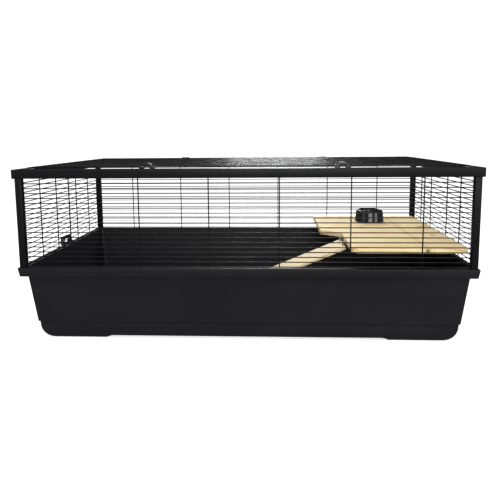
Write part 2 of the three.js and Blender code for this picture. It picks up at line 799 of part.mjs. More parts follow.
// The slope follows from the length of the board, whose lower edge meets the tub floor.
const bottomBelowAxis = RAMP.topBelowAxis + RAMP.thickness;
const rampSlope = (() => {
  const drop = RAMP.axisZ - floorTop - RAMP.floorGap;
  const reach = Math.hypot(RAMP.length - RAMP.topEnd, bottomBelowAxis);
  return Math.asin(drop / reach) - Math.atan2(bottomBelowAxis, RAMP.length - RAMP.topEnd);
})();

// Turns a solid drawn with the ramp level and its axis at the origin into place.
function hung(solid) {
  const geometry = geometryOf(solid);
  geometry.rotateY(-rampSlope);
  geometry.translate(RAMP.axisX, RAMP.centreY, RAMP.axisZ);
  return solidOf(geometry);
}

function stapleLegs(centre, radius) {
  return [-1, 1].map((s) => rodBetween([0, centre + s * STAPLE.half, 0],
    [STAPLE.legX, centre + s * STAPLE.half, STAPLE.legZ], radius, 8));
}

function buildRampBoard() {
  const half = RAMP.width / 2;
  let board = box(RAMP.topEnd - RAMP.length, RAMP.topEnd, -half, half,
    -bottomBelowAxis, -RAMP.topBelowAxis);
  for (const s of [-1, 1]) {
    for (const leg of stapleLegs((s * RAMP.hookSpacing) / 2, STAPLE.hole)) {
      board = board.subtract(leg);
    }
  }
  return hung(board);
}

place('ramp_board', buildRampBoard(), COLOURS.paleWood, 0.65, 0);

for (const [name, s] of [['front', -1], ['back', 1]]) {
  const centre = (s * RAMP.hookSpacing) / 2;
  const reach = 0.93;
  const legs = [-1, 1].map((e) => rodBetween([0, centre + e * STAPLE.half, 0],
    [STAPLE.legX * reach, centre + e * STAPLE.half, STAPLE.legZ * reach], STAPLE.wire, 8));
  const pin = rodY(0, centre - STAPLE.half - 0.6, centre + STAPLE.half + 0.6, 0, STAPLE.wire, 8);
  place(`ramp_staple_${name}`, hung(join([pin, ...legs])), COLOURS.steel, 0.3, 1);

  const ring = new THREE.TorusGeometry(EYE.ring, EYE.wire, 6, 14);
  ring.rotateX(Math.PI / 2);
  const y = RAMP.centreY + centre;
  ring.translate(RAMP.axisX, y, RAMP.axisZ);
  const shank = rodX(RAMP.axisX + EYE.ring, RAMP.axisX + EYE.shankEnd, y, RAMP.axisZ, EYE.wire, 8);
  place(`shelf_eye_${name}`, solidOf(ring).add(shank), COLOURS.steel, 0.3, 1);
}

// ---- bowl: heavy glossy dish with a flared foot, standing loose on the shelf

function buildBowl() {
  const { height: h, baseRadius: b, topRadius: t } = BOWL;
  const profile = [
    [0, 1], [b - 6, 1], [b - 4, 0], [b, 0], [b, 3], [b - 1.5, 10], [t + 2.5, h - 9],
    [t + 1.5, h - 4], [t - 0.5, h - 1], [t - 3, h], [t - 5.5, h - 1.5], [t - 7.5, h - 8],
    [t - 10, 10], [t - 16, 6], [0, 5],
  ];
  const geometry = new THREE.LatheGeometry(profile.map(([r, z]) => new THREE.Vector2(r, z)),
    BOWL.segments);
  geometry.rotateX(Math.PI / 2);
  geometry.translate(BOWL.x, BOWL.y, SHELF.top + GAP);
  return solidOf(geometry);
}

place('feed_bowl', buildBowl(), COLOURS.bowl, 0.1, 0);

export default cage;
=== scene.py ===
"""A low, wide wire cage: moulded tub, wire walls, hinged wire roof, wooden shelf and ramp.

Shapes are worked out in millimetres, in the same frame as the CAD model, and scaled to metres
when each piece is made.  X runs to the right, Y to the back and Z up.
"""

import json
import math
import random

import bmesh
import bpy
from mathutils import Matrix, Vector


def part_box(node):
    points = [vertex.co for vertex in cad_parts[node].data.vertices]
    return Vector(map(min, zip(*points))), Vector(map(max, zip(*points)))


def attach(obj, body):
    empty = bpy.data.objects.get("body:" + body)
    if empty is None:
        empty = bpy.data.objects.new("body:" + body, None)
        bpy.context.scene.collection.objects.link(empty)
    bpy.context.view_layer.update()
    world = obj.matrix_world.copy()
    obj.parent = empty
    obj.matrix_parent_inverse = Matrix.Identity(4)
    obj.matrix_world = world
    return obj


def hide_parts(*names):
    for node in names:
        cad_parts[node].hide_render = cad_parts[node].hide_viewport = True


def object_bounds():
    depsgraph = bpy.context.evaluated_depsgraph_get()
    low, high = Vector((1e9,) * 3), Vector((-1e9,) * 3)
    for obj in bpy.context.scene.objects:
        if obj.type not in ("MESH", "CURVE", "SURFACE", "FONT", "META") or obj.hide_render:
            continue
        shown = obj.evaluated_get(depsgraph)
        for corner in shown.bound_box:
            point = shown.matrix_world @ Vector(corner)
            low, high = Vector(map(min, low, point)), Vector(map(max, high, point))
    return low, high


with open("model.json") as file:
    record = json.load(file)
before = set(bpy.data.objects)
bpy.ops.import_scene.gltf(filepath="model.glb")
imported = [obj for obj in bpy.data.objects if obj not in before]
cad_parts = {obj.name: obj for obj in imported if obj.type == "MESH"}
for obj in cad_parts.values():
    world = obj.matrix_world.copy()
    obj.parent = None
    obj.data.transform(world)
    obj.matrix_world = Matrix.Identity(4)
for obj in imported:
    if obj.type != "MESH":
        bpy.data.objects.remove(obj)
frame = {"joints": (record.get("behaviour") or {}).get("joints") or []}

MM = 0.001
CAD_BOUNDS = [list(corner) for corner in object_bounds()]
scene = bpy.context.scene


def box_mm(node):
    """Lowest and highest corner of a CAD node, in millimetres."""
    low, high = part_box(node)
    return low / MM, high / MM


# ------------------------------------------------------------------ sizes read from the frame

CAGE_HIGH = Vector(CAD_BOUNDS[1]) / MM
HALF_LENGTH = CAGE_HIGH.x
HALF_DEPTH = CAGE_HIGH.y
RIM_TOP = box_mm("base_tub")[1].z
RAIL_LOW, RAIL_HIGH = box_mm("rail_back")
POST_LOW, POST_HIGH = box_mm("post_back_right")
PANEL_LOW, PANEL_HIGH = box_mm("panel_back")
SIDE_PANEL_HIGH = box_mm("panel_right")[1]
LID_LOW, LID_HIGH = box_mm("lid_grille")
SHELF_LOW, SHELF_HIGH = box_mm("shelf_board")
BOWL_LOW, BOWL_HIGH = box_mm("feed_bowl")
CLIP_LOW, CLIP_HIGH = box_mm("lid_clip_right")
LEVER_LOW, LEVER_HIGH = box_mm("latch_lever_right")
BRACKET_LOW, BRACKET_HIGH = box_mm("latch_bracket_right")
SIDE_RAIL_LOW, SIDE_RAIL_HIGH = box_mm("rail_right")
JOINTS = {joint["name"]: joint for joint in frame["joints"]}


def joint_place(name):
    """The point on a joint's axis, in millimetres."""
    return Vector(JOINTS[name]["pos_m"]) / MM


# ------------------------------------------------------------------ sizes of the fine shapes

CORNER_STEPS = 14
TUB_WALL = 3.0
LIP_BOTTOM = 151.0
LIP_THICKNESS = 3.0
LIP_INSET = 2.5
RIM_CORNER = 5.0
WALL_CORNER = 12.0
WALL_INSET_AT_LIP = 13.5
WALL_TAPER = 0.11
STEP_TOP = 42.0
STEP_BOTTOM = 39.0
STEP_INSET = 2.5
FILLET_HEIGHT = 34.0
FILLET_INSET_X = 28.0
FILLET_INSET_Y = 14.0
FOOT_HEIGHT = 7.0
FOOT_INNER_X = 319.0
FOOT_INNER_Y = 140.0
FOOT_SLOPE = 15.0
# Heights of the rings of the wall, close together across its step.
WALL_HEIGHTS = (37.5, 39.0, 39.8, 40.5, 41.2, 42.0, 43.0, 90.0, 145.0)

RAIL_WALL = 2.5
RAIL_ROUND = 2.0
POST_CORNER = 2.5
SLOT_DEPTH = 6.0
SLOT_HALF = 1.5

WIRE_RADIUS = 1.2
UPRIGHT_RADIUS = 1.4
WELD_SINK = 0.3
WIRE_PITCH = 10.7
WIRE_ROWS = 18
LONG_UPRIGHTS = [-379.0, -227.4, -75.8, 75.8, 227.4, 379.0]
SHORT_UPRIGHTS = [-160.0, -67.0, 67.0, 160.0]
SLACK = 0.12
HIDDEN_ROW = 376.0
HIDDEN_ROW_GAP = 0.7

LID_FRAME_RADIUS = 1.2
LID_WIRE_RADIUS = 1.0
LID_CREST_X = 464.0
LID_CREST_INSET = 7.0
LID_LONG_WIRES = 47
LID_CROSS_PITCH = 132.0
LID_CORNER = 9.0
LID_WIRE_SAG = 0.15

HINGE_FLANGE = 2.0
HINGE_SCREW_HOLE = 1.9
SCREW_HEAD_HEIGHT = 1.8
SCREW_HEAD_EDGE = 0.35
SCREW_SHANK_RADIUS = 1.5
SCREW_POINT = 1.2
SCREW_CROSS_ARM = 1.7
SCREW_CROSS_HALF = 0.38
SCREW_CROSS_DEPTH = 0.9

CLIP_KNUCKLE_INNER = 6.0
CLIP_KNUCKLE_RADIUS = 4.2
CLIP_ARCH_HALF = 13.0
CLIP_ARCH_DEPTH = 5.0
CLIP_HOLE_HALF = 6.0
CLIP_HOLE_RISE = 7.0
CLIP_TONGUE_HALF = 12.0
CLIP_TONGUE_DEPTH = 2.4
CLIP_BORE = 2.1

LATCH_LEG = 10.0
LATCH_BAR = 7.0
LATCH_THICKNESS = 8.0
LATCH_ROUND = 16.0
LATCH_NOSE_HEIGHT = 3.0
LATCH_BORE = 1.9
LATCH_PIN_RADIUS = 1.5
BRACKET_PLATE = 1.7
BRACKET_EAR = 5.0

SHELF_NOTCH_X = 235.0
SHELF_NOTCH_BACK = -41.0
SHELF_SLANT_BACK = 2.0
SHELF_FRONT_ROUND = 16.0
SHELF_CORNER = 4.0

HOOK_STRAP = 1.4
HOOK_REACH = 26.0
HOOK_DROP = 4.0
HOOK_WIRE_ROW = 3
GAP = 0.3

RAMP_LENGTH = 470.0
RAMP_WIDTH = 95.0
RAMP_THICKNESS = 7.0
RAMP_TOP_BELOW_AXIS = 5.83
RAMP_TOP_END = -0.5
STAPLE_SPACING = 56.0
STAPLE_HALF = 6.0
STAPLE_FOOT_X = -8.4
STAPLE_FOOT_Z = -9.1
EYE_RING = 3.4
EYE_WIRE = 1.0
EYE_SHANK = 19.0


# ------------------------------------------------------------------ outlines

def arc(centre_u, centre_v, radius_u, radius_v, start, end, steps):
    """Points along part of an ellipse; the angles are in degrees."""
    points = []
    for i in range(steps + 1):
        angle = math.radians(start + (end - start) * i / steps)
        u = centre_u + radius_u * math.cos(angle)
        v = centre_v + radius_v * math.sin(angle)
        points.append((u, v))
    return points


def rounded_rectangle(u0, u1, v0, v1, radius, steps=6):
    points = arc(u1 - radius, v0 + radius, radius, radius, -90, 0, steps)
    points += arc(u1 - radius, v1 - radius, radius, radius, 0, 90, steps)
    points += arc(u0 + radius, v1 - radius, radius, radius, 90, 180, steps)
    points += arc(u0 + radius, v0 + radius, radius, radius, 180, 270, steps)
    return points


def smooth_bends(path, radius, steps=5):
    """Replaces each inner corner of an open path of Vectors by a short curve."""
    smooth = [path[0]]
    for before, corner, after in zip(path, path[1:], path[2:]):
        into = (before - corner).normalized()
        out = (after - corner).normalized()
        reach = min(radius, (before - corner).length / 2, (after - corner).length / 2)
        start = corner + into * reach
        end = corner + out * reach
        for i in range(steps + 1):
            t = i / steps
            smooth.append(start * (1 - t) ** 2 + corner * 2 * t * (1 - t) + end * t ** 2)
    smooth.append(path[-1])
    return smooth


# ------------------------------------------------------------------ mesh helpers, in millimetres

AXES = {
    "X": lambda u, v, w: (w, u, v),
    "Y": lambda u, v, w: (u, w, v),
    "Z": lambda u, v, w: (u, v, w),
}


def add_prism(bm, outline, axis, start, end):
    """A closed solid with a given outline across one axis."""
    to_space = AXES[axis]
    low = [bm.verts.new(to_space(u, v, start)) for u, v in outline]
    high = [bm.verts.new(to_space(u, v, end)) for u, v in outline]
    count = len(outline)
    for i in range(count):
        j = (i + 1) % count
        bm.faces.new((low[i], low[j], high[j], high[i]))
    bm.faces.new(list(reversed(low)))
    bm.faces.new(high)


def add_loft(bm, rings, tag=0, cap_start=False, cap_end=False):
    """Skins a row of rings that all have the same number of points; returns the last ring."""
    rows = [[bm.verts.new(point) for point in ring] for ring in rings]
    count = len(rows[0])
    for low, high in zip(rows, rows[1:]):
        for i in range(count):
            j = (i + 1) % count
            bm.faces.new((low[i], low[j], high[j], high[i])).material_index = tag
    if cap_start:
        bm.faces.new(list(reversed(rows[0]))).material_index = tag
    if cap_end:
        bm.faces.new(rows[-1]).material_index = tag
    return rows[-1]


def add_lathe(bm, profile, centre, axis="Z", sides=32):
    """Turns a profile of (radius, height) pairs that starts and ends on the axis."""
    to_space = AXES[axis]
    rings = []
    for radius, height in profile:
        if radius < 1e-6:
            rings.append([bm.verts.new(centre + Vector(to_space(0.0, 0.0, height)))])
            continue
        ring = []
        for i in range(sides):
            angle = 2 * math.pi * i / sides
            u = radius * math.cos(angle)
            v = radius * math.sin(angle)
            ring.append(bm.verts.new(centre + Vector(to_space(u, v, height))))
        rings.append(ring)
    for low, high in zip(rings, rings[1:]):
        for i in range(sides):
            j = (i + 1) % sides
            corners = [low[i % len(low)], low[j % len(low)],
                       high[j % len(high)], high[i % len(high)]]
            kept = list(dict.fromkeys(corners))
            if len(kept) > 2:
                bm.faces.new(kept)


def add_wire(bm, path, radius, sides=12, closed=False):
    """A round wire along a path of points, with mitred bends and rounded ends."""
    points = [Vector(point) for point in path]
    count = len(points)
    spans = [(points[(i + 1) % count] - points[i]).normalized() for i in range(count)]
    if not closed:
        spans[-1] = spans[-2]
    side = spans[0].orthogonal().normalized()
    rings = []
    for i, point in enumerate(points):
        before = spans[i - 1] if closed or i > 0 else spans[0]
        after = spans[i]
        along = (before + after).normalized()
        side = (side - along * side.dot(along)).normalized()
        other = along.cross(side)
        stretch = 1 / max(along.dot(after), 0.5)
        turn = after - before
        outward = turn.normalized() if turn.length > 1e-5 else None
        ring = []
        for k in range(sides):
            angle = 2 * math.pi * k / sides
            offset = (side * math.cos(angle) + other * math.sin(angle)) * radius
            if outward is not None:
                offset += outward * offset.dot(outward) * (stretch - 1)
            ring.append(point + offset)
        rings.append(ring)
    if closed:
        rows = [[bm.verts.new(point) for point in ring] for ring in rings]
        for low, high in zip(rows, rows[1:] + rows[:1]):
            for k in range(sides):
                m = (k + 1) % sides
                bm.faces.new((low[k], low[m], high[m], high[k]))
        return
    rings = dome(rings[0], points[0], -spans[0], radius)[::-1] + rings
    rings += dome(rings[-1], points[-1], spans[-1], radius)
    add_loft(bm, rings, cap_start=True, cap_end=True)


def dome(ring, centre, outward, radius):
    """Two shrinking rings that round off the end of a wire."""
    extra = []
    for share, reach in ((0.8, 0.35), (0.4, 0.55)):
        extra.append([centre + (point - centre) * share + outward * radius * reach
                      for point in ring])
    return extra


def temporary(bm):
    """Turns mesh data into an object that later steps cut, join and publish."""
    bmesh.ops.recalc_face_normals(bm, faces=bm.faces)
    mesh = bpy.data.meshes.new("shape")
    bm.to_mesh(mesh)
    bm.free()
    shape = bpy.data.objects.new("shape", mesh)
    scene.collection.objects.link(shape)
    return shape


def prism(outline, axis, start, end):
    bm = bmesh.new()
    add_prism(bm, outline, axis, start, end)
    return temporary(bm)


def block(x0, x1, y0, y1, z0, z1):
    return prism([(x0, y0), (x1, y0), (x1, y1), (x0, y1)], "Z", z0, z1)


def rod(axis, centre, start, end, radius, sides=24):
    """A plain round rod; centre gives its place across the axis."""
    return prism(arc(*centre, radius, radius, 0, 360 - 360 / sides, sides - 1), axis, start, end)


def apply_modifiers(shape):
    graph = bpy.context.evaluated_depsgraph_get()
    made = bpy.data.meshes.new_from_object(shape.evaluated_get(graph))
    old = shape.data
    shape.modifiers.clear()
    shape.data = made
    bpy.data.meshes.remove(old)
    return shape


def combine(shape, others, operation):
    for other in others:
        modifier = shape.modifiers.new(operation, "BOOLEAN")
        modifier.operation = operation
        modifier.solver = "EXACT"
        modifier.object = other
        apply_modifiers(shape)
        mesh = other.data
        bpy.data.objects.remove(other)
        bpy.data.meshes.remove(mesh)
    return shape


def cut(shape, *others):
    return combine(shape, others, "DIFFERENCE")


def fuse(shape, *others):
    return combine(shape, others, "UNION")


def ease(shape, width, segments=3, angle=40):
    """Rounds every edge sharper than an angle and keeps the flats flat."""
    modifier = shape.modifiers.new("ease", "BEVEL")
    modifier.width = width
    modifier.segments = segments
    modifier.limit_method = "ANGLE"
    modifier.angle_limit = math.radians(angle)
    modifier.use_clamp_overlap = True
    modifier.miter_outer = "MITER_ARC"
    return apply_modifiers(shape)


def publish(shape, name, material, body, nodes, smooth=35):
    """Turns a shape in millimetres into a finished piece of the object."""
    mesh = shape.data
    mesh.transform(Matrix.Scale(MM, 4))
    mesh.materials.clear()
    mesh.materials.append(material)
    for polygon in mesh.polygons:
        polygon.use_smooth = True
        polygon.material_index = 0
    mesh.set_sharp_from_angle(angle=math.radians(smooth))
    mesh.validate()
    shape.name = name
    mesh.name = name
    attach(shape, body)
    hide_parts(*nodes)


def publish_node(shape, node, material, body, smooth=35):
    """Publishes a shape as the fine version of one CAD node."""
    publish(shape, f"{node}_fine", material, body, [node], smooth)


def mirror(shape, sign_x=1, sign_y=1):
    if (sign_x, sign_y) != (1, 1):
        shape.data.transform(Matrix.Diagonal((sign_x, sign_y, 1, 1)))
        if sign_x * sign_y < 0:
            shape.data.flip_normals()
    return shape


SIDES = (("left", -1), ("right", 1))
FACES = (("front", -1), ("back", 1))


# ------------------------------------------------------------------ material helpers

def start_material(name):
    material = bpy.data.materials.new(name)
    material.use_nodes = True
    tree = material.node_tree
    return material, tree, tree.nodes["Principled BSDF"]


def add_node(tree, kind, **values):
    node = tree.nodes.new(kind)
    for key, value in values.items():
        setattr(node, key, value)
    return node


def object_place(tree, scale=(1, 1, 1), rotation=(0, 0, 0), shift=(0, 0, 0)):
    """Coordinates fixed to the object, in metres, after a turn and a stretch."""
    source = add_node(tree, "ShaderNodeTexCoord")
    mapping = add_node(tree, "ShaderNodeMapping")
    mapping.inputs["Location"].default_value = shift
    mapping.inputs["Rotation"].default_value = rotation
    mapping.inputs["Scale"].default_value = scale
    tree.links.new(source.outputs["Object"], mapping.inputs["Vector"])
    return mapping.outputs["Vector"]


def noise(tree, place, scale, detail=3.0, roughness=0.5):
    node = add_node(tree, "ShaderNodeTexNoise")
    node.inputs["Scale"].default_value = scale
    node.inputs["Detail"].default_value = detail
    node.inputs["Roughness"].default_value = roughness
    tree.links.new(place, node.inputs["Vector"])
    return node.outputs["Fac"]


def math_node(tree, operation, first, second=None):
    node = add_node(tree, "ShaderNodeMath", operation=operation)
    for socket, value in zip(node.inputs, (first, second)):
        if value is None:
            continue
        if isinstance(value, (int, float)):
            socket.default_value = value
        else:
            tree.links.new(value, socket)
    return node.outputs["Value"]


def vector_node(tree, operation, value, other=None):
    node = add_node(tree, "ShaderNodeVectorMath", operation=operation)
    tree.links.new(value, node.inputs[0])
    if other is not None:
        node.inputs[1].default_value = other
    return node.outputs["Value" if operation == "LENGTH" else "Vector"]


def spread(tree, value, low, high, to_low, to_high):
    node = add_node(tree, "ShaderNodeMapRange")
    node.inputs["From Min"].default_value = low
    node.inputs["From Max"].default_value = high
    node.inputs["To Min"].default_value = to_low
    node.inputs["To Max"].default_value = to_high
    tree.links.new(value, node.inputs["Value"])
    return node.outputs["Result"]


def blend_colours(tree, factor, first, second):
    node = add_node(tree, "ShaderNodeMix", data_type="RGBA")
    tree.links.new(factor, node.inputs["Factor"])
    for socket, value in ((node.inputs[6], first), (node.inputs[7], second)):
        if isinstance(value, tuple):
            socket.default_value = (*value, 1.0)
        else:
            tree.links.new(value, socket)
    return node.outputs[2]


def bump(tree, height, strength, distance, normal=None):
    node = add_node(tree, "ShaderNodeBump")
    node.inputs["Strength"].default_value = strength
    node.inputs["Distance"].default_value = distance
    tree.links.new(height, node.inputs["Height"])
    if normal is not None:
        tree.links.new(normal, node.inputs["Normal"])
    return node.outputs["Normal"]


def moulded_plastic(name, dark, light, rough, grain, grain_depth, specular=0.5):
    """Plastic with a fine moulded grain, faint flow marks and a few rubbed, shinier patches."""
    material, tree, shader = start_material(name)
    flow = noise(tree, object_place(tree, scale=(1.0, 1.0, 2.5)), 4.0, 2.0)
    rub = noise(tree, object_place(tree, scale=(1.0, 1.0, 5.0)), 22.0, 5.0, 0.65)
    fine = noise(tree, object_place(tree), 1.0 / grain, 2.0)
    dust = noise(tree, object_place(tree), 160.0, 6.0, 0.7)
    colour = blend_colours(tree, spread(tree, flow, 0.3, 0.7, 0, 1), dark, light)
    speck = spread(tree, dust, 0.62, 0.8, 0.0, 0.25)
    pale = tuple(min(1.0, channel * 2.2 + 0.01) for channel in light)
    colour = blend_colours(tree, speck, colour, pale)
    tree.links.new(colour, shader.inputs["Base Color"])
    tree.links.new(spread(tree, rub, 0.3, 0.75, rough[1], rough[0]),
                   shader.inputs["Roughness"])
    shader.inputs["Specular IOR Level"].default_value = specular
    soft = bump(tree, flow, 0.15, 0.0012)
    tree.links.new(bump(tree, fine, 0.5, grain_depth, soft), shader.inputs["Normal"])
    return material


def coated_wire(name, dark, light, rough):
    """Smooth black coating that is a little thicker in places, like orange peel."""
    material, tree, shader = start_material(name)
    peel = noise(tree, object_place(tree), 420.0, 3.0)
    patch = noise(tree, object_place(tree), 35.0, 3.0)
    colour = blend_colours(tree, spread(tree, patch, 0.35, 0.65, 0, 1), dark, light)
    tree.links.new(colour, shader.inputs["Base Color"])
    tree.links.new(spread(tree, patch, 0.3, 0.7, *rough), shader.inputs["Roughness"])
    tree.links.new(bump(tree, peel, 0.35, 0.0002), shader.inputs["Normal"])
    shader.inputs["Specular IOR Level"].default_value = 0.3
    return material


def plated_metal(name, dark, light, rough, stretch):
    """Bare or zinc-plated steel with drawn streaks and cloudy tone."""
    material, tree, shader = start_material(name)
    cloud = noise(tree, object_place(tree), 130.0, 4.0, 0.6)
    streak = noise(tree, object_place(tree, scale=stretch), 900.0, 3.0)
    colour = blend_colours(tree, spread(tree, cloud, 0.3, 0.7, 0, 1), dark, light)
    tree.links.new(colour, shader.inputs["Base Color"])
    shader.inputs["Metallic"].default_value = 1.0
    tree.links.new(spread(tree, streak, 0.3, 0.7, *rough), shader.inputs["Roughness"])
    tree.links.new(bump(tree, streak, 0.3, 0.0001), shader.inputs["Normal"])
    return material


def sawn_wood(name, pale, amber, latewood, ring_gap, rotation, shift, knots):
    """A board sawn from a log whose rings run round a slightly tilted centre line.

    Each knot is ((x, y, z), direction mask, radius) in metres, where the mask is 0 along the branch.
    """
    material, tree, shader = start_material(name)
    place = object_place(tree, rotation=rotation, shift=shift)
    wander = noise(tree, object_place(tree, scale=(2.2, 9.0, 9.0), rotation=rotation), 1.0, 2.0)
    stretched = vector_node(tree, "MULTIPLY", place, (0.02, 1.0, 1.0))
    rings = math_node(tree, "DIVIDE", vector_node(tree, "LENGTH", stretched), ring_gap)
    rings = math_node(tree, "ADD", rings, spread(tree, wander, 0, 1, 0.0, 5.0))

    heart = None
    halo = None
    source = add_node(tree, "ShaderNodeTexCoord")
    for centre, mask, radius in knots:
        offset = vector_node(tree, "SUBTRACT", source.outputs["Object"], centre)
        distance = vector_node(tree, "LENGTH", vector_node(tree, "MULTIPLY", offset, mask))
        near = spread(tree, distance, 0.75 * radius, 1.15 * radius, 1.0, 0.0)
        around = spread(tree, distance, 0.9 * radius, 4.0 * radius, 1.0, 0.0)
        heart = near if heart is None else math_node(tree, "MAXIMUM", heart, near)
        halo = around if halo is None else math_node(tree, "MAXIMUM", halo, around)
    squared = math_node(tree, "MULTIPLY", halo, halo)
    rings = math_node(tree, "ADD", rings, math_node(tree, "MULTIPLY", squared, 3.2))

    phase = math_node(tree, "FRACT", rings)
    late = spread(tree, phase, 0.35, 0.86, 0.0, 1.0)
    drop = spread(tree, phase, 0.9, 1.0, 1.0, 0.0)
    late = math_node(tree, "MULTIPLY", math_node(tree, "MULTIPLY", late, late), drop)

    fibre = noise(tree, object_place(tree, scale=(14.0, 700.0, 700.0), rotation=rotation), 1.0, 3.0)
    tone = noise(tree, object_place(tree, scale=(2.0, 14.0, 14.0), rotation=rotation), 1.0, 2.0)
    colour = blend_colours(tree, spread(tree, tone, 0.35, 0.65, 0, 1), pale, amber)
    colour = blend_colours(tree, math_node(tree, "MULTIPLY", late, 0.75), colour, latewood)
    streak = spread(tree, fibre, 0.52, 0.75, 0.0, 0.35)
    colour = blend_colours(tree, streak, colour, tuple(0.72 * channel for channel in amber))
    rim = math_node(tree, "MULTIPLY", spread(tree, halo, 0.55, 1.0, 0.0, 1.0), 0.45)
    colour = blend_colours(tree, rim, colour, tuple(0.55 * channel for channel in latewood))
    colour = blend_colours(tree, math_node(tree, "MULTIPLY", heart, 0.85), colour,
                           tuple(0.26 * channel for channel in latewood))
    tree.links.new(colour, shader.inputs["Base Color"])
    tree.links.new(spread(tree, late, 0.0, 1.0, 0.62, 0.48), shader.inputs["Roughness"])
    shader.inputs["Specular IOR Level"].default_value = 0.35
    relief = bump(tree, late, 0.2, 0.0002)
    tree.links.new(bump(tree, fibre, 0.35, 0.00015, relief), shader.inputs["Normal"])
    return material


# ------------------------------------------------------------------ materials

ramp_joint = joint_place("ramp_lift")
TUB_FLOOR = FOOT_HEIGHT + TUB_WALL


def ramp_slope():
    """The slope at which the hung board's lower edge meets the tub floor."""
    below = RAMP_TOP_BELOW_AXIS + RAMP_THICKNESS
    drop = ramp_joint.z - TUB_FLOOR - GAP
    reach = math.hypot(RAMP_LENGTH - RAMP_TOP_END, below)
    return math.asin(drop / reach) - math.atan2(below, RAMP_LENGTH - RAMP_TOP_END)


SLOPE = ramp_slope()

TUB_PLASTIC = moulded_plastic("tub_plastic", (0.0060, 0.0060, 0.0076), (0.0080, 0.0080, 0.0100),
                              (0.36, 0.52), 0.0011, 0.00012, 0.20)
FRAME_PLASTIC = moulded_plastic("frame_plastic", (0.0028, 0.0028, 0.0036), (0.0040, 0.0040, 0.0050),
                                (0.32, 0.46), 0.0008, 0.00006, 0.18)
WIRE_COATING = coated_wire("wire_coating", (0.0022, 0.0022, 0.0026), (0.0040, 0.0040, 0.0046),
                           (0.20, 0.34))
GLOSSY_PLASTIC = moulded_plastic("clip_plastic", (0.0080, 0.0080, 0.0086),
                                 (0.0110, 0.0110, 0.0118), (0.14, 0.26), 0.0006, 0.00002)
STEEL = plated_metal("drawn_steel", (0.42, 0.42, 0.43), (0.56, 0.56, 0.57), (0.22, 0.38),
                     (1.0, 0.08, 1.0))
ZINC = plated_metal("zinc_plate", (0.44, 0.43, 0.40), (0.60, 0.59, 0.55), (0.26, 0.44),
                    (0.2, 0.2, 1.0))
PINE = sawn_wood("pine_board", (0.84, 0.71, 0.43), (0.78, 0.62, 0.33), (0.58, 0.36, 0.13),
                 0.0062, (0.0, math.radians(1.6), math.radians(-1.2)), (0.0, -0.045, -0.085),
                 knots=(((0.398, -0.2, 0.204), (1.0, 0.0, 1.0), 0.0042),
                        ((0.300, 0.035, 0.204), (1.0, 1.0, 0.0), 0.0065),
                        ((0.452, -0.075, 0.204), (1.0, 1.0, 0.0), 0.0050)))
PALE_WOOD = sawn_wood("ramp_wood", (0.86, 0.74, 0.52), (0.80, 0.66, 0.42), (0.60, 0.40, 0.18),
                      0.0048, (0.0, SLOPE, math.radians(1.0)), (0.0, 0.07, -0.04),
                      knots=(((0.080, -0.128, 0.136), (1.0, 1.0, 0.0), 0.0036),))
BOWL_PLASTIC = moulded_plastic("bowl_plastic", (0.0100, 0.0092, 0.0098), (0.0130, 0.0122, 0.0128),
                               (0.06, 0.13), 0.0009, 0.00001)


# ------------------------------------------------------------------ tub

def tub_ring(inset, z, radius, inset_y=None):
    half_x = HALF_LENGTH - inset
    half_y = HALF_DEPTH - (inset if inset_y is None else inset_y)
    outline = rounded_rectangle(-half_x, half_x, -half_y, half_y, radius, CORNER_STEPS)
    return [(x, y, z) for x, y in outline]


def wall_inset(z):
    """How far the outer face of the wall stands inside the rim, with a softened step."""
    sloped = WALL_INSET_AT_LIP + WALL_TAPER * (LIP_BOTTOM - z)
    share = min(1.0, max(0.0, (STEP_TOP - z) / (STEP_TOP - STEP_BOTTOM)))
    return sloped + STEP_INSET * share * share * (3 - 2 * share)


def wall_rings(shift):
    """Rings from the flat floor up to just under the flange; shift moves them in and up."""
    corner = WALL_CORNER - shift
    fillet_top = wall_inset(FILLET_HEIGHT) + shift
    rings = []
    fillet_steps = 10
    for i in range(fillet_steps + 1):
        angle = math.radians(90 * i / fillet_steps)
        curl = 1 - math.sin(angle)
        z = shift + (FILLET_HEIGHT - shift) * (1 - math.cos(angle))
        rings.append(tub_ring(fillet_top + FILLET_INSET_X * curl, z, corner,
                              fillet_top + FILLET_INSET_Y * curl))
    for z in WALL_HEIGHTS:
        rings.append(tub_ring(wall_inset(z) + shift, z, corner))
    return rings


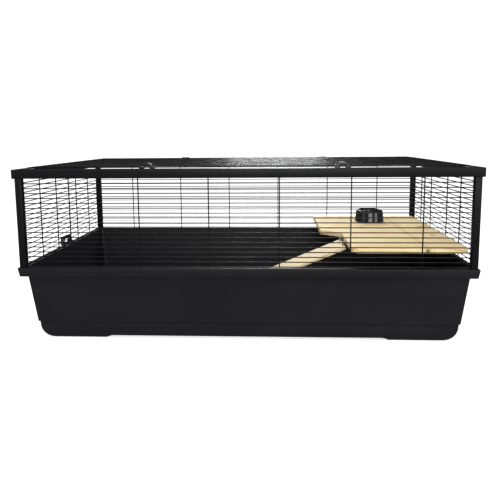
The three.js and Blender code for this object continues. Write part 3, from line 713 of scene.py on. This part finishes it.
def rim_rings():
    """From the top of the outer wall, round the turned-down lip, to the inner edge."""
    flange = RIM_TOP - TUB_WALL
    rings = []
    under = 2.0
    for i in range(5):
        angle = math.radians(90 * i / 4)
        inset = wall_inset(flange) - under * (1 - math.cos(angle))
        rings.append(tub_ring(inset, flange - under * (1 - math.sin(angle)), WALL_CORNER))
    inner_corner = RIM_CORNER - LIP_THICKNESS
    bend, bend_middle = 1.5, 0.4
    rings.append(tub_ring(LIP_THICKNESS + bend, flange, inner_corner - bend))
    rings.append(tub_ring(LIP_THICKNESS + bend_middle, flange - bend_middle,
                          inner_corner - bend_middle))
    rings.append(tub_ring(LIP_THICKNESS, flange - bend, inner_corner))
    edge = LIP_THICKNESS / 2 - 0.3
    for i in range(7):
        angle = math.radians(180 * i / 6)
        inset = LIP_THICKNESS / 2 + (LIP_THICKNESS / 2) * math.cos(angle)
        rings.append(tub_ring(inset + LIP_INSET, LIP_BOTTOM + edge * (1 - math.sin(angle)),
                              RIM_CORNER - inset))
    top = 2.2
    for i in range(6):
        angle = math.radians(90 * i / 5)
        inset = top * (1 - math.cos(angle))
        rings.append(tub_ring(inset, RIM_TOP - top * (1 - math.sin(angle)), RIM_CORNER - inset))
    inner = wall_inset(RIM_TOP) + TUB_WALL
    round_in = 2.0
    for i in range(6):
        angle = math.radians(90 * i / 5)
        inset = inner - round_in * (1 - math.sin(angle))
        rings.append(tub_ring(inset, RIM_TOP - round_in * (1 - math.cos(angle)),
                              WALL_CORNER - TUB_WALL + (inner - inset)))
    return rings


def press_height(x, y, spread_out):
    """Height of the pressed-up floor between the feet."""
    rise_x = (FOOT_INNER_X + spread_out - abs(x)) / FOOT_SLOPE
    rise_y = (FOOT_INNER_Y + spread_out - abs(y)) / FOOT_SLOPE
    return FOOT_HEIGHT * min(1.0, max(0.0, rise_x, rise_y))


def build_tub():
    outer_tag, inner_tag = 0, 1
    bm = bmesh.new()
    outer = wall_rings(0.0)
    inner = wall_rings(TUB_WALL)[::-1]
    add_loft(bm, outer + rim_rings(), tag=outer_tag, cap_start=True)
    mouth = tub_ring(wall_inset(RIM_TOP) + TUB_WALL, RIM_TOP - 2.0, WALL_CORNER - TUB_WALL)
    floor_ring = add_loft(bm, [mouth] + inner, tag=inner_tag)
    bm.faces.new(floor_ring).material_index = inner_tag
    bmesh.ops.remove_doubles(bm, verts=bm.verts, dist=0.001)

    def slice_at(point, normal):
        everything = bm.verts[:] + bm.edges[:] + bm.faces[:]
        bmesh.ops.bisect_plane(bm, geom=everything, dist=0.0001, plane_co=point, plane_no=normal)

    for extra in (0.0, TUB_WALL):
        for sign in (-1, 1):
            for back_off in (0.0, FOOT_SLOPE):
                slice_at((sign * (FOOT_INNER_X + extra - back_off), 0, 0), (1, 0, 0))
                slice_at((0, sign * (FOOT_INNER_Y + extra - back_off), 0), (0, 1, 0))
    for height in (FOOT_HEIGHT, FOOT_HEIGHT + TUB_WALL):
        slice_at((0, 0, height), (0, 0, 1))
    for vert in bm.verts:
        inside = any(face.material_index == inner_tag for face in vert.link_faces)
        extra = TUB_WALL if inside else 0.0
        if vert.co.z < FOOT_HEIGHT + TUB_WALL:
            vert.co.z = max(vert.co.z, extra + press_height(vert.co.x, vert.co.y, extra))
    return temporary(bm)


publish(build_tub(), "tub", TUB_PLASTIC, "cage", ["base_tub"], smooth=50)


# ------------------------------------------------------------------ posts and rails

SIDE_WIRE_X = SIDE_PANEL_HIGH.x - WIRE_RADIUS
LONG_WIRE_Y = PANEL_HIGH.y - WIRE_RADIUS


def build_post():
    plan = rounded_rectangle(POST_LOW.x, POST_HIGH.x, POST_LOW.y, POST_HIGH.y, POST_CORNER, 8)
    post = prism(plan, "Z", POST_LOW.z, POST_HIGH.z)
    long_slot = block(POST_LOW.x - 1, POST_LOW.x + SLOT_DEPTH, LONG_WIRE_Y - SLOT_HALF,
                      LONG_WIRE_Y + SLOT_HALF, POST_LOW.z - 1, POST_HIGH.z + 1)
    short_slot = block(SIDE_WIRE_X - SLOT_HALF, SIDE_WIRE_X + SLOT_HALF, POST_LOW.y - 1,
                       POST_LOW.y + SLOT_DEPTH, POST_LOW.z - 1, POST_HIGH.z + 1)
    cut(post, long_slot, short_slot)
    return ease(post, 0.35, 2, 50)


for side, sign_x in SIDES:
    for face, sign_y in FACES:
        publish_node(mirror(build_post(), sign_x, sign_y), f"post_{face}_{side}", FRAME_PLASTIC,
                     "cage")


def rail_blank(x0, x1, y0, y1):
    return ease(block(x0, x1, y0, y1, RAIL_LOW.z, RAIL_HIGH.z), RAIL_ROUND, 4)


def build_long_rail():
    """The back rail: a channel that is open below and closed at both ends."""
    inner_y = RAIL_LOW.y
    rail = rail_blank(-HALF_LENGTH, HALF_LENGTH, inner_y, HALF_DEPTH)
    return cut(rail, block(-HALF_LENGTH + RAIL_WALL, HALF_LENGTH - RAIL_WALL, inner_y + RAIL_WALL,
                           HALF_DEPTH - RAIL_WALL, RAIL_LOW.z - 5, RAIL_HIGH.z - RAIL_WALL))


def build_side_rail():
    """The right rail: made too long, then cut off square where it meets the long rails."""
    x0, x1 = SIDE_RAIL_LOW.x, SIDE_RAIL_HIGH.x
    y0, y1 = SIDE_RAIL_LOW.y, SIDE_RAIL_HIGH.y
    z0, z1 = RAIL_LOW.z, RAIL_HIGH.z
    rail = rail_blank(x0, x1, y0 - 4, y1 + 4)
    channel = block(x0 + RAIL_WALL, x1 - RAIL_WALL, y0 - 9, y1 + 9, z0 - 5, z1 - RAIL_WALL)
    back_end = block(x0 - 5, x1 + 5, y1, y1 + 20, z0 - 5, z1 + 5)
    front_end = block(x0 - 5, x1 + 5, y0 - 20, y0, z0 - 5, z1 + 5)
    return cut(rail, channel, back_end, front_end)


for face, sign_y in FACES:
    publish_node(mirror(build_long_rail(), 1, sign_y), f"rail_{face}", FRAME_PLASTIC, "cage")
for side, sign_x in SIDES:
    publish_node(mirror(build_side_rail(), sign_x, 1), f"rail_{side}", FRAME_PLASTIC, "cage")


# ------------------------------------------------------------------ wire walls

LOWEST_ROW = PANEL_LOW.z + WIRE_RADIUS
ROW_HEIGHTS = [LOWEST_ROW + row * WIRE_PITCH for row in range(WIRE_ROWS)] + [HIDDEN_ROW]


def wavering(start, end, along, rng, pieces):
    """A nearly straight wire: points from start to end that stray a little across it."""
    path = []
    for i in range(pieces + 1):
        point = start.lerp(end, i / pieces)
        if 0 < i < pieces:
            for axis in range(3):
                if axis != along:
                    point[axis] += rng.uniform(-SLACK, SLACK)
        path.append(point)
    return path


def add_weld(bm, place, along):
    """A small smooth blob of coating where two wires are welded, longer along the row."""
    stretch = [1.0, 1.0, 1.25, 1.0]
    stretch[along] = 1.5
    bmesh.ops.create_icosphere(bm, subdivisions=2, radius=0.95 * WIRE_RADIUS,
                               matrix=Matrix.Translation(place) @ Matrix.Diagonal(stretch))


def build_panel(seed, along, wire_depth, uprights, end, pieces):
    """The back wall (rows along axis 0) or the right wall (rows along axis 1)."""
    def place(reach, depth, z):
        point = Vector((depth, depth, z))
        point[along] = reach
        return point

    rng = random.Random(seed)
    bm = bmesh.new()
    for z in ROW_HEIGHTS:
        reach = end
        if along == 1 and z > RAIL_LOW.z:
            reach = SIDE_RAIL_HIGH.y - HIDDEN_ROW_GAP
        row = wavering(place(-reach, wire_depth, z), place(reach, wire_depth, z), along, rng, pieces)
        add_wire(bm, row, WIRE_RADIUS)
    upright_depth = wire_depth - WIRE_RADIUS - UPRIGHT_RADIUS + WELD_SINK
    for reach in uprights:
        add_wire(bm, [place(reach, upright_depth, PANEL_LOW.z),
                      place(reach, upright_depth, PANEL_HIGH.z)], UPRIGHT_RADIUS)
        for z in ROW_HEIGHTS:
            add_weld(bm, place(reach, wire_depth - WIRE_RADIUS, z), along)
    return temporary(bm)


for seed, (face, sign_y) in enumerate(FACES):
    wall = build_panel(11 + seed, 0, LONG_WIRE_Y, LONG_UPRIGHTS, PANEL_HIGH.x, 12)
    publish(mirror(wall, 1, sign_y), f"wall_{face}_wires", WIRE_COATING, "cage",
            [f"panel_{face}"], smooth=60)
for seed, (side, sign_x) in enumerate(SIDES):
    wall = build_panel(21 + seed, 1, SIDE_WIRE_X, SHORT_UPRIGHTS, SIDE_PANEL_HIGH.y, 8)
    publish(mirror(wall, sign_x, 1), f"wall_{side}_wires", WIRE_COATING, "cage",
            [f"panel_{side}"], smooth=60)


# ------------------------------------------------------------------ roof

hinge_axis = joint_place("lid_hinge")
LID_FRAME_Z = hinge_axis.z
LID_HINGE_Y = hinge_axis.y
LID_FRONT_Y = LID_LOW.y + LID_FRAME_RADIUS
LID_HALF_X = LID_HIGH.x - LID_FRAME_RADIUS
LID_WIRE_Z = LID_HIGH.z - LID_WIRE_RADIUS


def build_lid():
    rng = random.Random(31)
    bm = bmesh.new()
    plan = rounded_rectangle(-LID_HALF_X, LID_HALF_X, LID_FRONT_Y, LID_HINGE_Y, LID_CORNER, 8)
    add_wire(bm, [Vector((x, y, LID_FRAME_Z)) for x, y in plan], LID_FRAME_RADIUS, closed=True)
    first_y = LID_FRONT_Y + LID_CREST_INSET
    pitch = (LID_HINGE_Y - LID_CREST_INSET - first_y) / (LID_LONG_WIRES - 1)
    for i in range(LID_LONG_WIRES):
        y = first_y + i * pitch
        middle = wavering(Vector((-LID_CREST_X, y, LID_WIRE_Z)),
                          Vector((LID_CREST_X, y, LID_WIRE_Z)), 0, rng, 14)
        for point in middle[1:-1]:
            point.z -= LID_WIRE_SAG
        path = [Vector((-LID_HALF_X, y, LID_FRAME_Z)), *middle,
                Vector((LID_HALF_X, y, LID_FRAME_Z))]
        add_wire(bm, smooth_bends(path, 5.0, 4), LID_WIRE_RADIUS, sides=10)
    for i in range(-3, 4):
        x = i * LID_CROSS_PITCH
        path = [Vector((x, LID_FRONT_Y, LID_FRAME_Z)), Vector((x, LID_HINGE_Y, LID_FRAME_Z))]
        add_wire(bm, path, LID_WIRE_RADIUS, sides=10)
    return temporary(bm)


publish(build_lid(), "roof_wires", WIRE_COATING, "lid", ["lid_grille"], smooth=60)


# ------------------------------------------------------------------ roof hinges, screws and clips

def build_screw(node, upward):
    """A pan-head screw with a cross slot; upward is 1 or -1, the way its head points."""
    low, high = box_mm(node)
    x, y = (low.x + high.x) / 2, (low.y + high.y) / 2
    head_radius = (high.x - low.x) / 2
    head_end, tip_end = (high.z, low.z) if upward > 0 else (low.z, high.z)
    head_base = head_end - upward * SCREW_HEAD_HEIGHT
    length = abs(head_base - tip_end)
    profile = [(0.0, SCREW_HEAD_HEIGHT)]
    steps = 7
    for i in range(1, steps + 1):
        angle = math.radians(90 * i / steps)
        height = SCREW_HEAD_EDGE + (SCREW_HEAD_HEIGHT - SCREW_HEAD_EDGE) * math.cos(angle)
        profile.append((head_radius * math.sin(angle), height))
    profile += [(head_radius, 0.0), (SCREW_SHANK_RADIUS, 0.0),
                (SCREW_SHANK_RADIUS, SCREW_POINT - length), (0.0, -length)]
    bm = bmesh.new()
    add_lathe(bm, [(radius, upward * height) for radius, height in profile],
              Vector((x, y, head_base)), sides=28)
    z0, z1 = sorted((head_base + upward * (SCREW_HEAD_HEIGHT + 1),
                     head_base + upward * (SCREW_HEAD_HEIGHT - SCREW_CROSS_DEPTH)))
    arm, half = SCREW_CROSS_ARM, SCREW_CROSS_HALF
    return cut(temporary(bm), block(x - arm, x + arm, y - half, y + half, z0, z1),
               block(x - half, x + half, y - arm, y + arm, z0, z1))


for side, _ in SIDES:
    node = f"lid_hinge_{side}"
    screw = f"lid_hinge_screw_{side}"
    low, high = box_mm(node)
    screw_low, screw_high = box_mm(screw)
    screw_place = ((screw_low.x + screw_high.x) / 2, (screw_low.y + screw_high.y) / 2)
    shell = high.z - LID_FRAME_Z
    flange_top = low.z + HINGE_FLANGE
    side_view = arc(LID_HINGE_Y, LID_FRAME_Z, shell, shell, 180, 28, 18)
    side_view += [(LID_HINGE_Y + shell + 0.6, flange_top), (high.y, flange_top), (high.y, low.z),
                  (LID_HINGE_Y - shell, low.z)]
    saddle = ease(prism(side_view, "X", low.x, high.x), 0.5, 3)
    bore = rod("X", (LID_HINGE_Y, LID_FRAME_Z), low.x - 1, high.x + 1, CLIP_BORE)
    hole = rod("Z", screw_place, low.z - 1, high.z + 1, HINGE_SCREW_HOLE)
    below = block(low.x - 1, high.x + 1, LID_HINGE_Y - CLIP_BORE, LID_HINGE_Y + CLIP_BORE,
                  low.z - 1, LID_FRAME_Z)
    cut(saddle, bore, hole, below)
    publish_node(saddle, node, GLOSSY_PLASTIC, "cage")
    publish_node(build_screw(screw, 1), screw, ZINC, "cage")


def build_clip(centre_x):
    """A thumb arch over a dark hole, with a knuckle each side and a tongue below."""
    y = LID_FRONT_Y
    z = LID_FRAME_Z
    top = CLIP_HIGH.z
    half_depth = CLIP_ARCH_DEPTH / 2
    outline = arc(centre_x, z, CLIP_ARCH_HALF, top - z, 0, 180, 32)
    arch = prism(outline, "Y", y - half_depth, y + half_depth)
    ease(arch, 1.1, 4)
    knuckle_end = (CLIP_HIGH.x - CLIP_LOW.x) / 2
    for sign in (-1, 1):
        a, b = sorted((centre_x + sign * CLIP_KNUCKLE_INNER, centre_x + sign * knuckle_end))
        fuse(arch, ease(rod("X", (y, z), a, b, CLIP_KNUCKLE_RADIUS, 32), 0.7, 3))
    tongue_half = CLIP_TONGUE_DEPTH / 2
    tongue = block(centre_x - CLIP_TONGUE_HALF, centre_x + CLIP_TONGUE_HALF, y - tongue_half,
                   y + tongue_half, CLIP_LOW.z, z - 1.5)
    fuse(arch, ease(tongue, 0.5, 2))
    hole = [(centre_x + CLIP_HOLE_HALF, z - 2.8)]
    hole += arc(centre_x, z + 0.5, CLIP_HOLE_HALF, CLIP_HOLE_RISE - 0.5, 0, 180, 24)
    hole += [(centre_x - CLIP_HOLE_HALF, z - 2.8)]
    cut(arch, prism(hole, "Y", y - 8, y + 8))
    cut(arch, rod("X", (y, z), centre_x - 30, centre_x + 30, CLIP_BORE))
    return arch


clip_centre = (CLIP_LOW.x + CLIP_HIGH.x) / 2
for side, sign_x in SIDES:
    publish_node(build_clip(sign_x * clip_centre), f"lid_clip_{side}", GLOSSY_PLASTIC,
                 f"lid_clip_{side}")


# ------------------------------------------------------------------ side latches

latch_axis = joint_place("latch_right_turn")


def build_lever():
    """The arch-shaped lever of the right side, with two noses that hook the lowest wire."""
    half = LEVER_HIGH.y
    top = LEVER_HIGH.z
    foot = LEVER_LOW.z
    outer_x = LEVER_HIGH.x
    inner_x = outer_x - LATCH_THICKNESS
    inner_half = half - LATCH_LEG
    inner_round = LATCH_ROUND - LATCH_LEG
    inner_drop = LATCH_ROUND - LATCH_BAR
    outline = [(-half, foot), (-inner_half, foot)]
    outline += arc(-half + LATCH_ROUND, top - LATCH_ROUND, inner_round, inner_drop, 180, 90, 8)
    outline += arc(half - LATCH_ROUND, top - LATCH_ROUND, inner_round, inner_drop, 90, 0, 8)
    outline += [(inner_half, foot), (half, foot)]
    outline += arc(half - LATCH_ROUND, top - LATCH_ROUND, LATCH_ROUND, LATCH_ROUND, 0, 90, 12)
    outline += arc(-half + LATCH_ROUND, top - LATCH_ROUND, LATCH_ROUND, LATCH_ROUND, 90, 180, 12)
    lever = prism(outline, "X", inner_x, outer_x)
    radius = LATCH_THICKNESS / 2
    profile = arc(latch_axis.x, latch_axis.z, radius, radius, 180, 360, 16)
    profile += [(outer_x, top + 5), (inner_x, top + 5)]
    combine(lever, [prism(profile, "Y", -half - 5, half + 5)], "INTERSECT")
    ease(lever, 1.2, 4, 50)
    nose_low = PANEL_LOW.z + 2 * WIRE_RADIUS + GAP
    for sign in (-1, 1):
        a, b = sorted((sign * (inner_half + 0.6), sign * (half - 0.6)))
        nose = block(LEVER_LOW.x, inner_x + 2, a, b, nose_low, nose_low + LATCH_NOSE_HEIGHT)
        fuse(lever, ease(nose, 0.5, 2))
    cut(lever, rod("Y", (latch_axis.x, latch_axis.z), -half - 1, half + 1, LATCH_BORE))
    return lever


def build_bracket():
    base = BRACKET_LOW.z
    x0 = BRACKET_LOW.x
    x1 = BRACKET_HIGH.x
    half = BRACKET_HIGH.y
    bracket = ease(block(x0, x1, -half, half, base, base + BRACKET_PLATE), 0.4, 2)
    for sign in (-1, 1):
        a, b = sorted((sign * half, sign * (half - BRACKET_EAR)))
        radius = LATCH_THICKNESS / 2
        profile = [(x0, base), (x1, base)]
        profile += arc(latch_axis.x, latch_axis.z, radius, radius, 0, 180, 16)
        fuse(bracket, ease(prism(profile, "Y", a, b), 0.5, 2, 50))
    cut(bracket, rod("Y", (latch_axis.x, latch_axis.z), -half - 1, half + 1, LATCH_BORE))
    return bracket


def build_pin():
    half = box_mm("latch_pin_right")[1].y
    bm = bmesh.new()
    radius = LATCH_PIN_RADIUS
    add_lathe(bm, [(0.0, -half), (radius - 0.4, -half), (radius, -half + 0.4), (radius, half - 0.4),
                   (radius - 0.4, half), (0.0, half)],
              Vector((latch_axis.x, 0, latch_axis.z)), axis="Y", sides=24)
    return temporary(bm)


for side, sign_x in SIDES:
    publish_node(mirror(build_lever(), sign_x, 1), f"latch_lever_{side}", GLOSSY_PLASTIC,
                 f"latch_{side}")
    publish_node(mirror(build_bracket(), sign_x, 1), f"latch_bracket_{side}", GLOSSY_PLASTIC,
                 "cage")
    publish_node(mirror(build_pin(), sign_x, 1), f"latch_pin_{side}", STEEL, "cage")


# ------------------------------------------------------------------ shelf and its hooks

def build_shelf():
    plan = [(SHELF_NOTCH_X, SHELF_NOTCH_BACK)]
    plan += arc(SHELF_NOTCH_X + SHELF_FRONT_ROUND, SHELF_LOW.y + SHELF_FRONT_ROUND,
                SHELF_FRONT_ROUND, SHELF_FRONT_ROUND, 180, 270, 12)
    plan += arc(SHELF_HIGH.x - SHELF_CORNER, SHELF_LOW.y + SHELF_CORNER,
                SHELF_CORNER, SHELF_CORNER, 270, 360, 6)
    plan += arc(SHELF_HIGH.x - SHELF_CORNER, SHELF_HIGH.y - SHELF_CORNER,
                SHELF_CORNER, SHELF_CORNER, 0, 90, 6)
    plan += [(SHELF_LOW.x, SHELF_HIGH.y), (SHELF_LOW.x, SHELF_SLANT_BACK)]
    board = prism(plan, "Z", SHELF_LOW.z, SHELF_HIGH.z)
    return ease(board, 0.9, 3, 30)


publish_node(build_shelf(), "shelf_board", PINE, "cage")


def strip_outline(centres, thickness):
    """The side view of a strip of even thickness along a path of (u, v) points."""
    path = smooth_bends([Vector((u, v, 0)) for u, v in centres], 2.2, 4)
    left, right = [], []
    for i, point in enumerate(path):
        before = path[max(i - 1, 0)]
        after = path[min(i + 1, len(path) - 1)]
        along = (after - before).normalized()
        across = Vector((-along.y, along.x, 0)) * thickness / 2
        left.append(point + across)
        right.append(point - across)
    return [(point.x, point.y) for point in right + left[::-1]]


def build_hook(node, edge, wire_centre, axis):
    """A bent strap: under the board, up past its edge and over one row of wire."""
    low, high = box_mm(node)
    half = HOOK_STRAP / 2
    under = SHELF_LOW.z - GAP - half
    rise = edge + GAP + half
    wire_z = LOWEST_ROW + HOOK_WIRE_ROW * WIRE_PITCH
    over = wire_z + WIRE_RADIUS + GAP + half
    past = wire_centre + WIRE_RADIUS + GAP + half
    outline = strip_outline([(edge - HOOK_REACH, under), (rise, under), (rise, over), (past, over),
                             (past, wire_z - HOOK_DROP)], HOOK_STRAP)
    across = 1 if axis == "Y" else 0
    return ease(prism(outline, axis, low[across], high[across]), 0.3, 2, 50)


hooks = [(f"side_{i}", SHELF_HIGH.x, SIDE_WIRE_X, "Y") for i in (1, 2, 3)]
hooks += [(f"back_{i}", SHELF_HIGH.y, LONG_WIRE_Y, "X") for i in (1, 2)]
for name, edge, wire_centre, axis in hooks:
    node = f"shelf_hook_{name}"
    screw = f"shelf_screw_{name}"
    publish_node(build_hook(node, edge, wire_centre, axis), node, ZINC, "cage")
    publish_node(build_screw(screw, -1), screw, ZINC, "cage")


# ------------------------------------------------------------------ ramp

def hang(shape):
    """Moves a shape made with the ramp level and its axis at the origin to its place."""
    turn = Matrix.Rotation(-SLOPE, 4, "Y")
    shape.data.transform(Matrix.Translation(ramp_joint) @ turn)
    return shape


half_width = RAMP_WIDTH / 2
board_top = -RAMP_TOP_BELOW_AXIS
ramp_board = block(RAMP_TOP_END - RAMP_LENGTH, RAMP_TOP_END, -half_width, half_width,
                   board_top - RAMP_THICKNESS, board_top)
publish_node(hang(ease(ramp_board, 0.8, 3)), "ramp_board", PALE_WOOD, "ramp")

for name, sign in FACES:
    centre = sign * STAPLE_SPACING / 2
    near = centre - STAPLE_HALF
    far = centre + STAPLE_HALF
    path = [Vector((STAPLE_FOOT_X, near, STAPLE_FOOT_Z)), Vector((0, near, 0)),
            Vector((0, far, 0)), Vector((STAPLE_FOOT_X, far, STAPLE_FOOT_Z))]
    bm = bmesh.new()
    add_wire(bm, smooth_bends(path, 2.0, 5), EYE_WIRE, sides=14)
    publish_node(hang(temporary(bm)), f"ramp_staple_{name}", STEEL, "ramp", smooth=60)

    bm = bmesh.new()
    y = ramp_joint.y + centre
    ring = []
    for i in range(36):
        angle = 2 * math.pi * i / 36
        ring.append(Vector((ramp_joint.x + EYE_RING * math.cos(angle), y,
                            ramp_joint.z + EYE_RING * math.sin(angle))))
    add_wire(bm, ring, EYE_WIRE, sides=14, closed=True)
    add_wire(bm, [Vector((ramp_joint.x + EYE_RING, y, ramp_joint.z)),
                  Vector((ramp_joint.x + EYE_SHANK, y, ramp_joint.z))], EYE_WIRE, sides=14)
    publish_node(temporary(bm), f"shelf_eye_{name}", STEEL, "cage", smooth=60)


# ------------------------------------------------------------------ feed bowl

def build_bowl():
    """A heavy dish: sloping sides, rounded shoulders and a shallow hollow."""
    height = BOWL_HIGH.z - BOWL_LOW.z
    base = (BOWL_HIGH.x - BOWL_LOW.x) / 2
    top = base - 5.5
    profile = [(0, 1), (base - 6, 1), (base - 4.4, 0.2), (base - 3.6, 0), (base - 0.8, 0),
               (base - 0.15, 0.5), (base, 1.4), (base, 2.8), (base - 0.3, 4.2),
               (base - 1.5, 10.5), (top + 2.7, height - 9.5), (top + 2.2, height - 7)]
    lip = 5.0
    for degrees in range(10, 91, 10):
        turn = math.radians(degrees)
        profile.append((top - 3 + lip * math.cos(turn), height - lip + lip * math.sin(turn)))
    profile += [(top - 4.0, height - 0.1), (top - 5.0, height - 0.8), (top - 5.9, height - 2.4),
                (top - 7.2, height - 7), (top - 8.8, 14), (top - 10.8, 9.4), (top - 13.5, 6.8),
                (top - 18, 5.4), (0, 5)]
    bm = bmesh.new()
    centre = (BOWL_LOW + BOWL_HIGH) / 2
    add_lathe(bm, profile, Vector((centre.x, centre.y, BOWL_LOW.z)), sides=96)
    return temporary(bm)


publish_node(build_bowl(), "feed_bowl", BOWL_PLASTIC, "bowl", smooth=40)


# ------------------------------------------------------------------ stage, light and camera

def build_stage():
    """One pale sheet: a floor that sweeps up into a wall far behind the cage."""
    half_width = 9.0
    front, wall, radius, top = -6.0, 6.0, 2.5, 7.0
    profile = [(front, 0.0)]
    profile += arc(wall - radius, radius, radius, radius, -90, 0, 24)
    profile += [(wall, top)]
    bm = bmesh.new()
    rows = [[bm.verts.new((x, y, z)) for y, z in profile] for x in (-half_width, half_width)]
    for i in range(len(profile) - 1):
        bm.faces.new((rows[0][i], rows[1][i], rows[1][i + 1], rows[0][i + 1]))
    mesh = bpy.data.meshes.new("stage")
    bm.to_mesh(mesh)
    bm.free()
    stage = bpy.data.objects.new("stage", mesh)
    scene.collection.objects.link(stage)
    for polygon in mesh.polygons:
        polygon.use_smooth = True
    material, tree, shader = start_material("stage_paper")
    grain = noise(tree, object_place(tree), 30.0, 3.0)
    paper = blend_colours(tree, grain, (0.43, 0.43, 0.43), (0.45, 0.45, 0.45))
    tree.links.new(paper, shader.inputs["Base Color"])
    shader.inputs["Emission Color"].default_value = (1.0, 1.0, 1.0, 1.0)
    shader.inputs["Emission Strength"].default_value = 0.72
    shader.inputs["Roughness"].default_value = 0.9
    shader.inputs["Specular IOR Level"].default_value = 0.1
    mesh.materials.append(material)
    stage.visible_glossy = False


def add_softbox(name, place, target, size, power):
    light = bpy.data.lights.new(name, "AREA")
    light.shape = "RECTANGLE"
    light.size, light.size_y = size
    light.energy = power
    lamp = bpy.data.objects.new(name, light)
    lamp.location = place
    lamp.rotation_euler = (Vector(target) - Vector(place)).to_track_quat("-Z", "Y").to_euler()
    scene.collection.objects.link(lamp)


def build_lights():
    world = bpy.data.worlds.new("white_room")
    world.use_nodes = True
    tree = world.node_tree
    background = tree.nodes["Background"]
    background.inputs["Color"].default_value = (1.0, 1.0, 1.0, 1.0)
    rays = add_node(tree, "ShaderNodeLightPath")
    tree.links.new(spread(tree, rays.outputs["Is Glossy Ray"], 0.0, 1.0, 1.02, 0.12),
                   background.inputs["Strength"])
    scene.world = world
    middle = (0.0, 0.0, 0.2)
    add_softbox("key_above", (-0.2, -1.6, 2.8), middle, (2.6, 1.8), 30.0)
    add_softbox("front_soft", (0.3, -4.2, 1.5), middle, (2.4, 1.6), 80.0)
    add_softbox("fill_right", (3.0, -2.4, 1.2), middle, (1.6, 1.8), 42.0)
    add_softbox("fill_left", (-3.0, -2.0, 1.2), middle, (1.4, 1.6), 8.0)
    add_softbox("roof_strip", (0.066, 1.9, 1.5), (0.0, 0.0, 0.39), (0.62, 0.8), 30.0)


def build_camera():
    data = bpy.data.cameras.new("camera")
    data.sensor_width = 36.0
    data.lens = 38.22
    data.shift_x = 0.003
    data.shift_y = -0.086
    data.clip_start = 0.05
    data.clip_end = 60.0
    yaw, pitch, roll = (math.radians(angle) for angle in (2.859, 7.379, -0.457))
    right = Vector((math.cos(yaw), math.sin(yaw), 0))
    level = Vector((-math.sin(yaw), math.cos(yaw), 0))
    forward = level * math.cos(pitch) + Vector((0, 0, -1)) * math.sin(pitch)
    up = right.cross(forward)
    camera_x = right * math.cos(roll) + up * math.sin(roll)
    camera_y = up * math.cos(roll) - right * math.sin(roll)
    turn = Matrix((camera_x, camera_y, -forward)).transposed().to_4x4()
    place = (0.0660, -1.3817, 0.4498)
    camera = bpy.data.objects.new("camera", data)
    camera.matrix_world = Matrix.Translation(place) @ turn
    scene.collection.objects.link(camera)
    scene.camera = camera


build_stage()
build_lights()
build_camera()
scene.view_settings.view_transform = "Standard"
